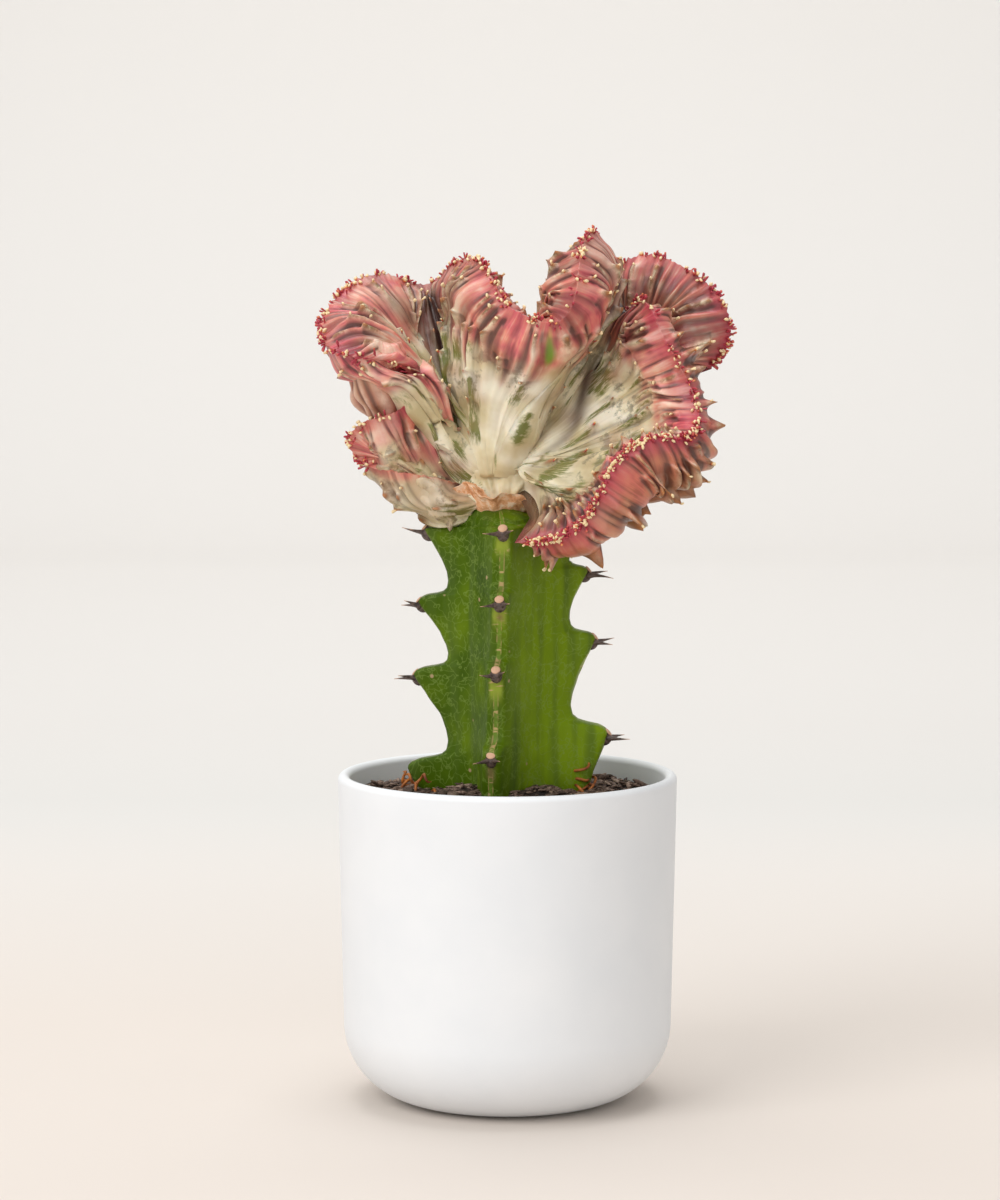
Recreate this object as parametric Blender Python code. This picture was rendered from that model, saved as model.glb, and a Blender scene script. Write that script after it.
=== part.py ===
"""Potted dragon bone euphorbia: a crested pink scion grafted on a ribbed green stem, in a white pot.

Points are worked out in millimetres and turned to Blender's metres as each mesh is made. +Z is up, the
origin is the middle of the pot's flat base, and the plant's best side faces -Y.
"""

import math
import random

import bmesh
import bpy
import numpy as np

MM = 0.001
GAP = 0.35  # clear space between neighbouring pieces
SEED = 11
SHARP_ANGLE = 40.0

# Pot: a near-straight cylinder with a big rounded bottom corner
POT_HEIGHT = 126.0
POT_LIP_RADIUS = 65.0
POT_WALL_FOOT_RADIUS = 63.0
POT_CORNER_RADIUS = 30.0
POT_WALL = 4.6
POT_FLOOR = 6.0
POT_SIDES = 40

# Soil: a low mound of chips
SOIL_EDGE_HEIGHT = 116.5
SOIL_MOUND = 3.0
SOIL_CHIP = 1.3
SOIL_SIDES = 32

# Rootstock: four wings, whose teeth stand at these heights from the top down
STEM_X = 0.5
STEM_TOP = 225.5
STEM_FOOT = 72.0
STEM_TWIST = 0.08  # degrees a millimetre, going down
HOLE_GAP = 0.45  # round the stem in the soil
WINGS = {
    # name: (angle in degrees at the top, tooth heights, tooth reach, reach between the teeth)
    "right": (-2.0, (225.0, 203.5, 178.0, 141.5), (22.0, 30.5, 33.0, 38.5), 24.0),
    "back": (88.0, (214.0, 188.0, 160.0, 130.0), (29.0, 32.0, 35.0, 38.0), 24.0),
    "left": (180.0, (219.5, 191.5, 163.5, 127.0), (32.0, 34.5, 36.0, 39.5), 23.5),
    "front": (-94.0, (221.5, 195.0, 168.5, 136.5), (31.0, 32.5, 33.5, 35.0), 28.0),
}
# Flank of a wing: degrees from its middle, and distance from the stem's axis
FLANK = ((0, 90), (4, 55), (8, 33), (12, 27), (18, 23), (27, 20), (36, 18.4), (45, 18))
SIDE_STEPS = (-30, -18, -11, -6, 0, 6, 11, 18, 30, 45)
# Outline of a wing's edge from one tooth tip down to the next: share of the way, share of the tooth's reach
TOOTH = (
    (0.0, 1.0),
    (0.06, 0.93),
    (0.2, 0.66),
    (0.42, 0.32),
    (0.66, 0.07),
    (0.88, 0.0),
    (0.93, 0.22),
    (0.955, 0.8),
    (1.0, 1.0),
)
SPINE_LENGTH = 7.5
SPINE_RADIUS = 0.95
PAD_RADIUS = 3.0
LOWEST_SPINES = 129.0  # a tooth below this is bare, and one above the next is under the graft
HIGHEST_SPINES = 223.0

# Graft: both cut faces meet a corky layer
GRAFT_X = -2.5
GRAFT_HALF = (14.5, 10.0)
CALLUS_BOTTOM = STEM_TOP + GAP
CALLUS_TOP = 231.0
CREST_BOTTOM = CALLUS_TOP + GAP

# Crest: its ribs start on a small arc round this centre and end on the winding rim
HUB = (-3.0, 0.0, 236.0)
HUB_RADIUS = 8.0
HUB_HALF = (17.0, 13.0, 13.0)
DROP = (-25.5, -11.0, 229.0)  # the swollen end that hangs beside the graft, and its half sizes
DROP_HALF = (6.5, 6.0, 8.5)
HUB_PULL = 0.42  # share of a rib's span over which it keeps the way it leaves the hub
RIM_PULL = 0.40  # and over which it follows the rim's growth
EDGE_DEPTH = 15.0
FOLD_END = 7.0  # length over which a fold closes at each end of its rim
RIB_SPACING = 5.5
RIB_HEIGHT = 2.3
RIM_LEAF_LENGTHS = (1.6, 2.8)
RIM_LEAF_RADIUS = 0.9
RIM_LEAF_SPACING = 5.5
RIB_TOOTH_LENGTHS = (3.6, 5.0)
RIB_TOOTH_RADIUS = 1.4
RIB_TOOTH_SHARES = (0.97, 0.86, 0.7)  # how far along a rib, from the hub to the rim
SKIN_VOXEL = 1.15
CREST_FACE_SHARE = 0.044
GRAFT_BLOCK_WIDTH = 1.22  # the trimmed ring round the graft, in widths of the cut face
GRAFT_BLOCK_DEPTH = 30.0

# Rim of the main fold: x, y, z, then the way it grows, then half of its thickness
MAIN_RIM = (
    (-19.5, -13, 238.0, -1, -7, 4, 3),
    (-26.0, -16, 240.0, -3, -7, 5, 6.5),
    (-34.0, -18, 241.5, -4, -7, 6, 9),
    (-43.0, -18, 242.8, -5, -7, 5, 9),
    (-51.0, -17, 244.3, -7, -6, 3, 8.5),
    (-57.0, -17, 248.3, -8, -5, 1, 8),
    (-59.2, -20, 254.5, -7, -6, 1, 7),
    (-55.8, -24, 260.4, -4, -8, 3, 6),
    (-48.8, -25, 263.3, -1, -8, 6, 5),
    (-42.0, -22, 265.2, 1, -8, 5, 4.5),
    (-37.0, -18, 269.3, 2, -9, 2, 4),
    (-35.3, -17, 275.3, 0, -10, 0, 4),
    (-38.2, -19, 281.3, -2, -10, -1, 4.5),
    (-46.6, -26, 285.1, -2, -9, 1, 5),
    (-56.4, -31, 286.3, -4, -9, 0, 6.5),
    (-64.2, -31, 288.9, -7, -7, -1, 8),
    (-69.4, -22, 293.2, -10, -3, 0, 8),
    (-69.5, -10, 300.3, -10, -1, 3, 8),
    (-65.0, 0, 307.2, -8, 0, 6, 8),
    (-57.7, 8, 313.9, -5, 1, 9, 8),
    (-47.9, 13, 316.3, -1, 1, 10, 8),
    (-39.6, 18, 314.3, 2, 2, 10, 8),
    (-32.7, 24, 312.1, 1, 4, 9, 8),
    (-26.3, 23, 314.6, -1, 3, 10, 8),
    (-21.8, 15, 319.5, -2, -1, 10, 8),
    (-16.2, 6, 322.5, -1, -3, 10, 8.5),
    (-10.8, -6, 322.0, 1, -6, 8, 9),
    (-7.0, -16, 316.9, 3, -8, 6, 9),
    (-3.2, -23, 310.0, 3, -9, 5, 9),
    (1.6, -28, 304.1, 1, -8, 6, 9),
    (9.4, -32, 300.5, 0, -8, 6, 9),
    (17.2, -35, 299.1, 0, -9, 4, 9),
    (22.5, -37, 302.8, 0, -10, 2, 9.5),
    (25.3, -36, 310.8, -2, -10, 3, 10),
    (26.6, -30, 320.5, -1, -9, 5, 10.5),
    (28.4, -21, 328.4, -1, -7, 7, 10.5),
    (31.4, -9, 332.5, 0, -3, 10, 10.5),
    (34.5, 2, 331.0, 1, 2, 10, 9.5),
    (36.0, 12, 323.5, 1, 6, 8, 8),
    (37.0, 18, 311.0, 0, 6, 8, 7),
    (41.0, 18, 300.0, 0, 3, 9, 6),
    (45.5, 10, 301.5, -1, 0, 9, 6.5),
    (49.5, -3, 307.0, 0, -5, 8, 7.5),
    (54.0, -14, 303.5, 0, -9, 4, 8),
    (58.5, -21, 293.2, 1, -10, 1, 9),
    (65.0, -25, 281.5, 1, -10, 0, 9),
    (70.0, -30, 270.3, 2, -9, 0, 9),
    (70.7, -38, 261.4, 1, -9, 3, 9),
    (64.7, -46, 257.2, -2, -8, 6, 9),
    (55.8, -51, 257.6, -4, -6, 7, 9),
    (46.4, -53, 255.0, -6, -6, 6, 9),
    (38.9, -53, 247.4, -8, -5, 4, 9),
    (34.3, -51, 238.1, -9, -5, 3, 9),
    (29.8, -49, 229.5, -8, -6, 2, 8.5),
    (23.8, -46, 223.0, -7, -7, 1, 8.5),
    (16.5, -43, 219.3, -7, -7, 0, 8.5),
    (9.5, -40, 218.3, -8, -6, -1, 8),
    (3.0, -37, 217.6, -9, -4, -2, 6),
)
# Where the ribs of the main fold leave the hub: share of the rim's length, and the leaving direction
MAIN_ROOTS = (
    (0.00, -8, -6, 1),
    (0.03, -9, -4, -3),
    (0.07, -9, -2, -5),
    (0.12, -10, -2, -3),
    (0.17, -10, -2, 1),
    (0.23, -10, -1, 4),
    (0.33, -8, 3, 9),
    (0.41, -4, 5, 10),
    (0.48, -2, -2, 10),
    (0.57, 1, -4, 10),
    (0.67, 5, 3, 9),
    (0.74, 8, 2, 7),
    (0.82, 10, -3, 3),
    (0.92, 8, -7, 0),
    (1.00, 7, -7, 0),
)
# Rim and roots of the separate fan behind, on the right
BACK_RIM = (
    (36.0, 33, 303.0, -4, 6, 7, 5),
    (40.0, 31, 315.0, -3, 4, 9, 6),
    (47.5, 27, 322.0, -1, 1, 10, 6.5),
    (56.5, 22, 323.5, 1, -1, 10, 7),
    (65.5, 18, 320.0, 3, -3, 9, 7),
    (73.5, 14, 315.0, 5, -4, 8, 7),
    (80.5, 10, 308.0, 8, -4, 6, 7),
    (84.5, 8, 299.0, 10, -2, 3, 6.5),
    (83.5, 9, 289.0, 10, -1, 0, 6),
    (77.5, 11, 280.5, 9, 0, -3, 5),
)
BACK_ROOTS = ((0.0, 4, 8, 8), (0.5, 7, 7, 7), (1.0, 9, 4, 4))


def make_material(name, colour, roughness):
    """A plain finish: sRGB colour from 0 to 1, and roughness."""
    finish = bpy.data.materials.new(name)
    finish.use_nodes = True
    shader = finish.node_tree.nodes["Principled BSDF"]
    linear = [c / 12.92 if c <= 0.04045 else ((c + 0.055) / 1.055) ** 2.4 for c in colour]
    shader.inputs["Base Color"].default_value = (*linear, 1.0)
    shader.inputs["Roughness"].default_value = roughness
    shader.inputs["Metallic"].default_value = 0.0
    return finish


def make_object(name, points, faces, finish=None):
    """A mesh object from points in millimetres."""
    mesh = bpy.data.meshes.new(name)
    mesh.from_pydata((np.asarray(points, float) * MM).tolist(), [], [list(map(int, face)) for face in faces])
    mesh.validate()
    made = bpy.data.objects.new(name, mesh)
    bpy.context.scene.collection.objects.link(made)
    if finish:
        mesh.materials.append(finish)
    return made


def smooth(piece):
    """Shades a rounded piece smooth up to its sharp edges."""
    piece.data.shade_smooth()
    piece.data.set_sharp_from_angle(angle=math.radians(SHARP_ANGLE))


def closed_rings(rings, top=None, bottom=None):
    """Points and faces of stacked rings, first ring on top, each end closed by a middle point."""
    count, sides = rings.shape[:2]
    points = rings.reshape(-1, 3)
    top = rings[0].mean(axis=0) if top is None else top
    bottom = rings[-1].mean(axis=0) if bottom is None else bottom
    points = np.vstack([points, top, bottom])
    first, last = len(points) - 2, len(points) - 1
    faces = []
    for row in range(count - 1):
        for side in range(sides):
            after = (side + 1) % sides
            a, b = row * sides + side, row * sides + after
            c, d = a + sides, b + sides
            faces += [(a, c, d), (a, d, b)]
    for side in range(sides):
        after = (side + 1) % sides
        faces.append((first, side, after))
        low = (count - 1) * sides
        faces.append((last, low + after, low + side))
    return points, faces


def arc(centre, radius, start, end, steps):
    """Points (radius, height) of an arc, angles in degrees."""
    angles = np.radians(np.linspace(start, end, steps + 1))
    return [(centre[0] + radius * math.cos(a), centre[1] + radius * math.sin(a)) for a in angles]


def turned(profile, sides):
    """Rings of a profile of (radius, height) turned round the upright axis."""
    angles = np.linspace(0, 2 * math.pi, sides, endpoint=False)
    profile = np.asarray(profile, float)
    rings = np.empty((len(profile), sides, 3))
    rings[..., 0] = profile[:, :1] * np.cos(angles)
    rings[..., 1] = profile[:, :1] * np.sin(angles)
    rings[..., 2] = profile[:, 1:]
    return rings


def wall_radius(height):
    """Outer radius of the pot's wall above its corner."""
    rise = (height - POT_CORNER_RADIUS) / (POT_HEIGHT - POT_CORNER_RADIUS)
    return POT_WALL_FOOT_RADIUS + (POT_LIP_RADIUS - POT_WALL_FOOT_RADIUS) * rise


def cavity_profile(clear, top):
    """Profile of the pot's inside, moved inwards by clear, from the wall at a height down to the floor."""
    corner = POT_CORNER_RADIUS - POT_WALL
    radius = POT_WALL_FOOT_RADIUS - POT_WALL - clear
    floor = POT_FLOOR + clear
    points = [(wall_radius(top) - POT_WALL - clear, top)]
    points += arc((radius - corner, floor + corner), corner, 0, -90, 5)
    return points


def make_pot(finish):
    half = POT_WALL / 2
    lip_middle = (POT_LIP_RADIUS - half, POT_HEIGHT - half)
    corner = (POT_WALL_FOOT_RADIUS - POT_CORNER_RADIUS, POT_CORNER_RADIUS)
    inside = cavity_profile(0.0, POT_HEIGHT - half)
    outside = arc(lip_middle, half, 180, 0, 4) + arc(corner, POT_CORNER_RADIUS, 0, -90, 7)
    rings = turned(inside[::-1] + outside[1:], POT_SIDES)
    points, faces = closed_rings(rings, (0, 0, POT_FLOOR), (0, 0, 0))
    smooth(make_object("pot", points, faces, finish))


def make_soil(finish, stem_cutter):
    draw = random.Random(SEED)
    side = cavity_profile(GAP, SOIL_EDGE_HEIGHT)
    edge = side[0][0]
    shares = (0.12, 0.3, 0.42, 0.54, 0.66, 0.78, 0.9)
    top = [(edge * share, SOIL_EDGE_HEIGHT + SOIL_MOUND * (1 - share**2)) for share in shares]
    rings = turned(top + side, SOIL_SIDES)
    for row in range(len(top)):
        for column in range(SOIL_SIDES):
            rings[row, column, 2] += draw.uniform(-SOIL_CHIP, SOIL_CHIP)
    points, faces = closed_rings(rings)
    soil = make_object("soil", points, faces, finish)
    boolean(soil, "DIFFERENCE", stem_cutter)


def boolean(target, operation, other=None, group=None, solver="EXACT"):
    """Cuts or joins other objects, and applies the result."""
    step = target.modifiers.new(operation.lower(), "BOOLEAN")
    step.operation = operation
    step.solver = solver
    if group:
        step.operand_type = "COLLECTION"
        step.collection = group
    else:
        step.object = other
    apply_modifiers(target)


def apply_modifiers(target):
    """Keeps the evaluated mesh as the object's own."""
    graph = bpy.context.evaluated_depsgraph_get()
    mesh = bpy.data.meshes.new_from_object(target.evaluated_get(graph))
    old = target.data
    target.modifiers.clear()
    target.data = mesh
    bpy.data.meshes.remove(old)


def wing_heights(name, steps):
    """Height of one wing at each step down the stem: whole steps are its tooth tips."""
    heights = (STEM_TOP + 8, *WINGS[name][1], STEM_FOOT)
    return np.interp(steps, range(len(heights)), heights)


def stem_rings(steps):
    """Rings of the ribbed stem. Each ring follows the teeth, so it rises and falls from wing to wing.

    Only the edge of a wing reaches out to its teeth: inside the edge, the flanks are the same all the way.
    """
    wings = list(WINGS.values())
    angles = np.concatenate([np.array(SIDE_STEPS) + wing[0] for wing in wings])
    rings = np.zeros((len(steps), len(angles), 3))
    reach = np.zeros(rings.shape[:2])
    height = np.zeros(rings.shape[:2])
    total = np.zeros(len(angles))
    whole = np.clip(np.floor(steps).astype(int), 0, 4)
    part = steps - whole
    stand = np.interp(part, *np.transpose(TOOTH)) * np.where(steps < 0.9, 0.0, 1.0)
    stand = np.where(steps > 4.9, 0.0, stand)
    for name, (angle, _, tips, notch) in WINGS.items():
        away = np.abs((angles - angle + 180) % 360 - 180)
        weight = np.clip(1 - away / 90, 0, 1) ** 2
        weight = weight * (3 - 2 * np.clip(1 - away / 90, 0, 1))
        height += wing_heights(name, steps)[:, None] * weight
        total += weight
        above = np.array((tips[0], *tips))[whole]
        below = np.array((*tips, tips[-1]))[whole]
        edge = notch + (np.where(part > 0.9, below, above) - notch) * stand
        flank = np.interp(away, *np.transpose(FLANK))
        reach = np.maximum(reach, (edge[:, None] ** -7.0 + flank**-7.0) ** (-1 / 7.0))
    height /= total
    turned_by = np.radians(angles - STEM_TWIST * (STEM_TOP - np.minimum(height, STEM_TOP)))
    rings[..., 0] = STEM_X + reach * np.cos(turned_by)
    rings[..., 1] = reach * np.sin(turned_by)
    rings[..., 2] = height
    return rings


def make_stem():
    """The bare ribbed stem, its graft face cut flat and its foot tapered."""
    parts = [share for share, _ in TOOTH[:-1]]
    steps = [0.3, 0.62, 0.88, 0.93, 0.955]
    steps += [whole + part for whole in range(1, 4) for part in parts]
    steps += [4.0, 4.06, 4.14, 4.25, 4.4, 4.6, 4.8, 5.0]
    steps = np.array(steps)
    rings = stem_rings(steps)
    across, deep = rings[..., 0] - STEM_X, rings[..., 1]
    angles = np.arctan2(deep, across)
    reach = np.hypot(across, deep)
    neck = 1 / np.hypot(np.cos(angles) / GRAFT_HALF[0], np.sin(angles) / GRAFT_HALF[1])
    top = np.clip((1.0 - steps) / 0.5, 0, 1)[:, None]
    middle = STEM_X + (GRAFT_X - STEM_X) * top
    reach = reach * (1 - top) + np.minimum(reach, neck) * top
    reach = reach * (1 - 0.35 * np.clip((steps - 4.25) / 0.75, 0, 1)[:, None])
    rings[..., 0] = middle + reach * np.cos(angles)
    rings[..., 1] = reach * np.sin(angles)
    rings[..., 2] = np.minimum(rings[..., 2], STEM_TOP - (1 - top) * 1.5)
    rings[0, :, 2] = STEM_TOP
    rings[-1, :, 2] = STEM_FOOT
    return closed_rings(rings)


def cone(base, tip, radius, sides=3):
    """A slim pyramid whose root is at base."""
    base, tip = np.asarray(base, float), np.asarray(tip, float)
    axis = (tip - base) / np.linalg.norm(tip - base)
    across = np.cross(axis, (0, 0, 1) if abs(axis[2]) < 0.9 else (1, 0, 0))
    across /= np.linalg.norm(across)
    up = np.cross(axis, across)
    turn = np.linspace(0, 2 * math.pi, sides, endpoint=False)
    ring = base + radius * (np.cos(turn)[:, None] * across + np.sin(turn)[:, None] * up)
    points = np.vstack([ring, tip])
    faces = [(side, (side + 1) % sides, sides) for side in range(sides)]
    faces.append(tuple(range(sides))[::-1])
    return points, faces


def fuse(target, shapes):
    """Joins many small closed shapes to the target with one union."""
    group = bpy.data.collections.new("repeats")
    bpy.context.scene.collection.children.link(group)
    for number, (points, faces) in enumerate(shapes):
        piece = make_object(f"repeat_{number}", points, faces)
        bpy.context.scene.collection.objects.unlink(piece)
        group.objects.link(piece)
    boolean(target, "UNION", group=group, solver="MANIFOLD")
    for piece in list(group.objects):
        bpy.data.objects.remove(piece)
    bpy.data.collections.remove(group)


def spine_pairs():
    """Two spreading spines and their pad at each tooth tip above the soil."""
    shapes = []
    for angle, heights, tips, _ in WINGS.values():
        for height, tip in zip(heights, tips):
            if not LOWEST_SPINES < height < HIGHEST_SPINES:
                continue
            turn = math.radians(angle - STEM_TWIST * (STEM_TOP - height))
            out = np.array((math.cos(turn), math.sin(turn), 0))
            side = np.array((-out[1], out[0], 0))
            root = np.array((STEM_X, 0, height - 1.0)) + out * (tip - 2.0)
            shapes.append(cone(root - out * 2.0, root + out * 5.0, PAD_RADIUS, 6))
            for sideways, lift in ((0.75, 0.0), (-0.6, 0.35)):
                spread = out * 0.75 + side * sideways + np.array((0, 0, lift))
                end = root + out * 2.5 + spread * SPINE_LENGTH
                shapes.append(cone(root, end, SPINE_RADIUS, 4))
    return shapes


def make_rootstock(finish):
    points, faces = make_stem()
    stem = make_object("rootstock", points, faces, finish)
    fuse(stem, spine_pairs())
    smooth(stem)


def make_stem_cutter():
    """The bare stem moved outwards by the gap, to cut its plain hole in the soil."""
    cutter = make_object("stem_hole", *make_stem())
    cutter.hide_render = True
    cutter.display_type = "WIRE"
    for vertex in cutter.data.vertices:
        vertex.co = vertex.co + vertex.normal * HOLE_GAP * MM
    return cutter


def make_callus(finish):
    """The corky layer of the graft: an uneven disc, wider than both cut faces."""
    draw = random.Random(SEED + 1)
    sides = 26
    angles = np.linspace(0, 2 * math.pi, sides, endpoint=False)
    levels = ((0.0, 0.80), (0.12, 1.02), (0.5, 1.12), (0.88, 1.0), (1.0, 0.78))
    rings = np.zeros((len(levels), sides, 3))
    for row, (rise, wide) in enumerate(levels):
        for column, angle in enumerate(angles):
            uneven = wide + (draw.uniform(-0.06, 0.1) if 0 < row < 4 else 0)
            rings[row, column] = (
                GRAFT_X + GRAFT_HALF[0] * uneven * math.cos(angle),
                GRAFT_HALF[1] * uneven * math.sin(angle),
                CALLUS_TOP + (CALLUS_BOTTOM - CALLUS_TOP) * rise,
            )
    smooth(make_object("graft_callus", *closed_rings(rings), finish))


def smooth_path(keys, at):
    """A curve through rows of keys (Catmull-Rom), read at positions counted in keys."""
    keys = np.asarray(keys, float)
    low = np.clip(np.floor(at).astype(int), 0, len(keys) - 2)
    part = (at - low)[:, None]
    before = keys[np.maximum(low - 1, 0)]
    start, end = keys[low], keys[low + 1]
    after = keys[np.minimum(low + 2, len(keys) - 1)]
    return 0.5 * (
        2 * start
        + (end - before) * part
        + (2 * before - 5 * start + 4 * end - after) * part**2
        + (3 * start - before - 3 * end + after) * part**3
    )


def even_rim(rim, columns):
    """The rim's keys read at even steps of its length, and that length."""
    at = np.linspace(0, len(rim) - 1, 40 * len(rim))
    path = smooth_path(rim, at)
    steps = np.linalg.norm(np.diff(path[:, :3], axis=0), axis=1)
    along = np.concatenate([[0], np.cumsum(steps)])
    wanted = np.linspace(0, along[-1], columns)
    return smooth_path(rim, np.interp(wanted, along, at)), along[-1]


def unit(vectors):
    return vectors / np.maximum(np.linalg.norm(vectors, axis=-1, keepdims=True), 1e-9)


def fold(rim, roots, columns, rows):
    """Middle sheet and outward direction of a fold, its half thickness, and its rim's length.

    Each rib is a cubic curve from the hub to the rim. It leaves the hub along its root's direction and
    arrives along the rim's growth. The thickness rises from the rim like a wedge and then levels off.
    """
    keys, length = even_rim(rim, columns)
    share = np.linspace(0, 1, columns)
    roots = np.asarray(roots, float)
    leave = unit(np.stack([np.interp(share, roots[:, 0], roots[:, k]) for k in (1, 2, 3)], axis=1))
    grow = unit(keys[:, 3:6])
    start = np.array(HUB) + leave * HUB_RADIUS
    end = keys[:, :3]
    reach = np.linalg.norm(end - start, axis=1, keepdims=True)
    first, second = start + leave * reach * HUB_PULL, end - grow * reach * RIM_PULL
    t = rows[None, :, None]
    sheet = (
        start[:, None] * (1 - t) ** 3
        + first[:, None] * 3 * t * (1 - t) ** 2
        + second[:, None] * 3 * t**2 * (1 - t)
        + end[:, None] * t**3
    )
    along = np.gradient(sheet, axis=0)
    up = np.gradient(sheet, rows, axis=1)
    outward = unit(np.cross(along, up))
    depth = (1 - rows)[None, :] * reach
    half = keys[:, 6:7] * (1 - (1 - np.clip(depth / EDGE_DEPTH, 0, 1)) ** 2.0)
    ends = np.minimum(share, 1 - share) * length
    half = half * np.sqrt(np.clip(1 - (1 - np.clip(ends / FOLD_END, 0, 1)) ** 2, 0, 1))[:, None]
    return sheet, outward, half, length


def fold_solid(rim, roots):
    """Points and faces of a fold, with ribs that run from the hub to the rim on both sides."""
    _, length = even_rim(rim, 2)
    ribs = int(round(length / RIB_SPACING))
    columns = ribs * 6 + 1
    rows = 1 - (1 - np.linspace(0, 1, 26)) ** 1.3
    sheet, outward, half, _ = fold(rim, roots, columns, rows)
    phase = np.linspace(0, ribs, columns)
    fine = 1 - np.abs(np.sin(math.pi * phase)) ** 0.9
    coarse = 1 - np.abs(np.sin(math.pi * phase / 3)) ** 0.6
    t = rows[None, :]
    near = np.clip((t - 0.5) / 0.3, 0, 1) * np.clip((1 - t) / 0.05, 0, 1)
    far = np.clip((t - 0.15) / 0.25, 0, 1) * np.clip((0.85 - t) / 0.25, 0, 1)
    thick = half + RIB_HEIGHT * np.minimum(half / 4, 1) * (fine[:, None] * near + coarse[:, None] * far)
    one = sheet + outward * thick[..., None]
    two = sheet - outward * thick[..., None]
    rings = np.concatenate([one, two[:, -2::-1]], axis=1)
    return closed_rings(rings, rings[0].mean(axis=0), rings[-1].mean(axis=0))


def egg(centre, half, sides=24, levels=12):
    """Points and faces of an ellipsoid."""
    angles = np.linspace(0, 2 * math.pi, sides, endpoint=False)
    lift = np.radians(np.linspace(80, -80, levels))[:, None]
    rings = np.stack(
        [
            centre[0] + half[0] * np.cos(lift) * np.cos(angles),
            centre[1] + half[1] * np.cos(lift) * np.sin(angles),
            np.broadcast_to(centre[2] + half[2] * np.sin(lift), (levels, sides)),
        ],
        axis=-1,
    )
    return closed_rings(rings)


def merge_shapes(shapes):
    """Points and faces of several shapes in one list."""
    points, faces, start = [], [], 0
    for some_points, some_faces in shapes:
        points.append(some_points)
        faces += [tuple(index + start for index in face) for face in some_faces]
        start += len(some_points)
    return np.vstack(points), faces


def rim_leaves(rim, roots, spacing, draw):
    """The tiny leaves that crowd the rim: short cones that follow its growth, each turned a little."""
    _, length = even_rim(rim, 2)
    columns = int(round(length / spacing))
    sheet, outward, _, _ = fold(rim, roots, columns, np.array((0.9, 1.0)))
    grow = unit(sheet[:, 1] - sheet[:, 0])
    shapes = []
    for column in range(1, columns - 1):
        root, across = sheet[column, 1], outward[column, 0]
        lean = across * draw.uniform(-0.8, 0.8)
        direction = unit(grow[column] + lean)
        tip = root + direction * draw.uniform(*RIM_LEAF_LENGTHS)
        shapes.append(cone(root - direction * 2.0, tip, RIM_LEAF_RADIUS, 3))
    return shapes


def rib_teeth(rim, roots, draw):
    """The teeth along the ribs on both sides of a fold, in staggered rows behind the rim."""
    _, length = even_rim(rim, 2)
    ribs = int(round(length / RIB_SPACING))
    rows = np.array(RIB_TOOTH_SHARES)
    sheet, outward, half, _ = fold(rim, roots, ribs * 2 + 1, np.concatenate([rows - 0.01, rows]))
    shapes = []
    for rib in range(1, ribs):
        column = rib * 2
        for row in range(len(rows)):
            if (rib + row) % 4 != 0:
                continue
            for side in (-1, 1):
                middle, level = sheet[column, row + len(rows)], half[column, row + len(rows)]
                if level < 1.5:
                    continue
                along = unit(middle - sheet[column, row])
                out = outward[column, row + len(rows)] * side
                direction = unit(out + along * 0.9)
                root = middle + out * (level - 1.0)
                tip = root + direction * draw.uniform(*RIB_TOOTH_LENGTHS)
                shapes.append(cone(root, tip, RIB_TOOTH_RADIUS, 3))
    return shapes


def make_graft_block():
    """A block round the graft that trims the crest flat above the corky layer."""
    sides = 32
    angles = np.linspace(0, 2 * math.pi, sides, endpoint=False)
    wide = np.array(GRAFT_HALF) * GRAFT_BLOCK_WIDTH + GAP
    rings = np.zeros((2, sides, 3))
    rings[..., 0] = GRAFT_X + wide[0] * np.cos(angles)
    rings[..., 1] = wide[1] * np.sin(angles)
    rings[0, :, 2] = CREST_BOTTOM
    rings[1, :, 2] = STEM_TOP - GRAFT_BLOCK_DEPTH
    block = make_object("graft_block", *closed_rings(rings))
    block.hide_render = True
    block.display_type = "WIRE"
    return block


def make_crest(finish, cutters):
    draw = random.Random(SEED + 2)
    shapes = [
        fold_solid(MAIN_RIM, MAIN_ROOTS),
        fold_solid(BACK_RIM, BACK_ROOTS),
        egg(HUB, HUB_HALF),
        egg(DROP, DROP_HALF),
    ]
    crest = make_object("crest", *merge_shapes(shapes), finish)
    skin = crest.modifiers.new("one skin", "REMESH")
    skin.mode = "VOXEL"
    skin.voxel_size = SKIN_VOXEL * MM
    fewer = crest.modifiers.new("fewer faces", "DECIMATE")
    fewer.ratio = CREST_FACE_SHARE
    apply_modifiers(crest)
    for cutter in cutters:
        boolean(crest, "DIFFERENCE", cutter)
    repeats = []
    for rim, roots in ((MAIN_RIM, MAIN_ROOTS), (BACK_RIM, BACK_ROOTS)):
        repeats += rim_leaves(rim, roots, RIM_LEAF_SPACING, draw)
        repeats += rib_teeth(rim, roots, draw)
    fuse(crest, repeats)
    smooth(crest)


def main():
    for old in list(bpy.data.objects):
        bpy.data.objects.remove(old)
    white = make_material("matte white ceramic", (0.95, 0.95, 0.95), 0.6)
    earth = make_material("bark and peat", (0.24, 0.18, 0.15), 0.95)
    green = make_material("green stem skin", (0.31, 0.41, 0.10), 0.5)
    cork = make_material("dry graft cork", (0.72, 0.53, 0.40), 0.9)
    pink = make_material("pink crest skin", (0.72, 0.42, 0.40), 0.5)
    cutter = make_stem_cutter()
    make_pot(white)
    make_soil(earth, cutter)
    make_rootstock(green)
    make_callus(cork)
    make_crest(pink, (make_graft_block(), cutter))


main()
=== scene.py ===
"""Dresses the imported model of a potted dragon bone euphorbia.

A crested, pink-rimmed scion is grafted on a ribbed green rootstock, which stands in bark soil in a white
pot. Shapes are worked out in millimetres and turned to metres as each mesh is made. +Z is up, the origin
is the middle of the pot's base, and the plant's best side faces -Y.
"""

import functools
import math

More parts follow.
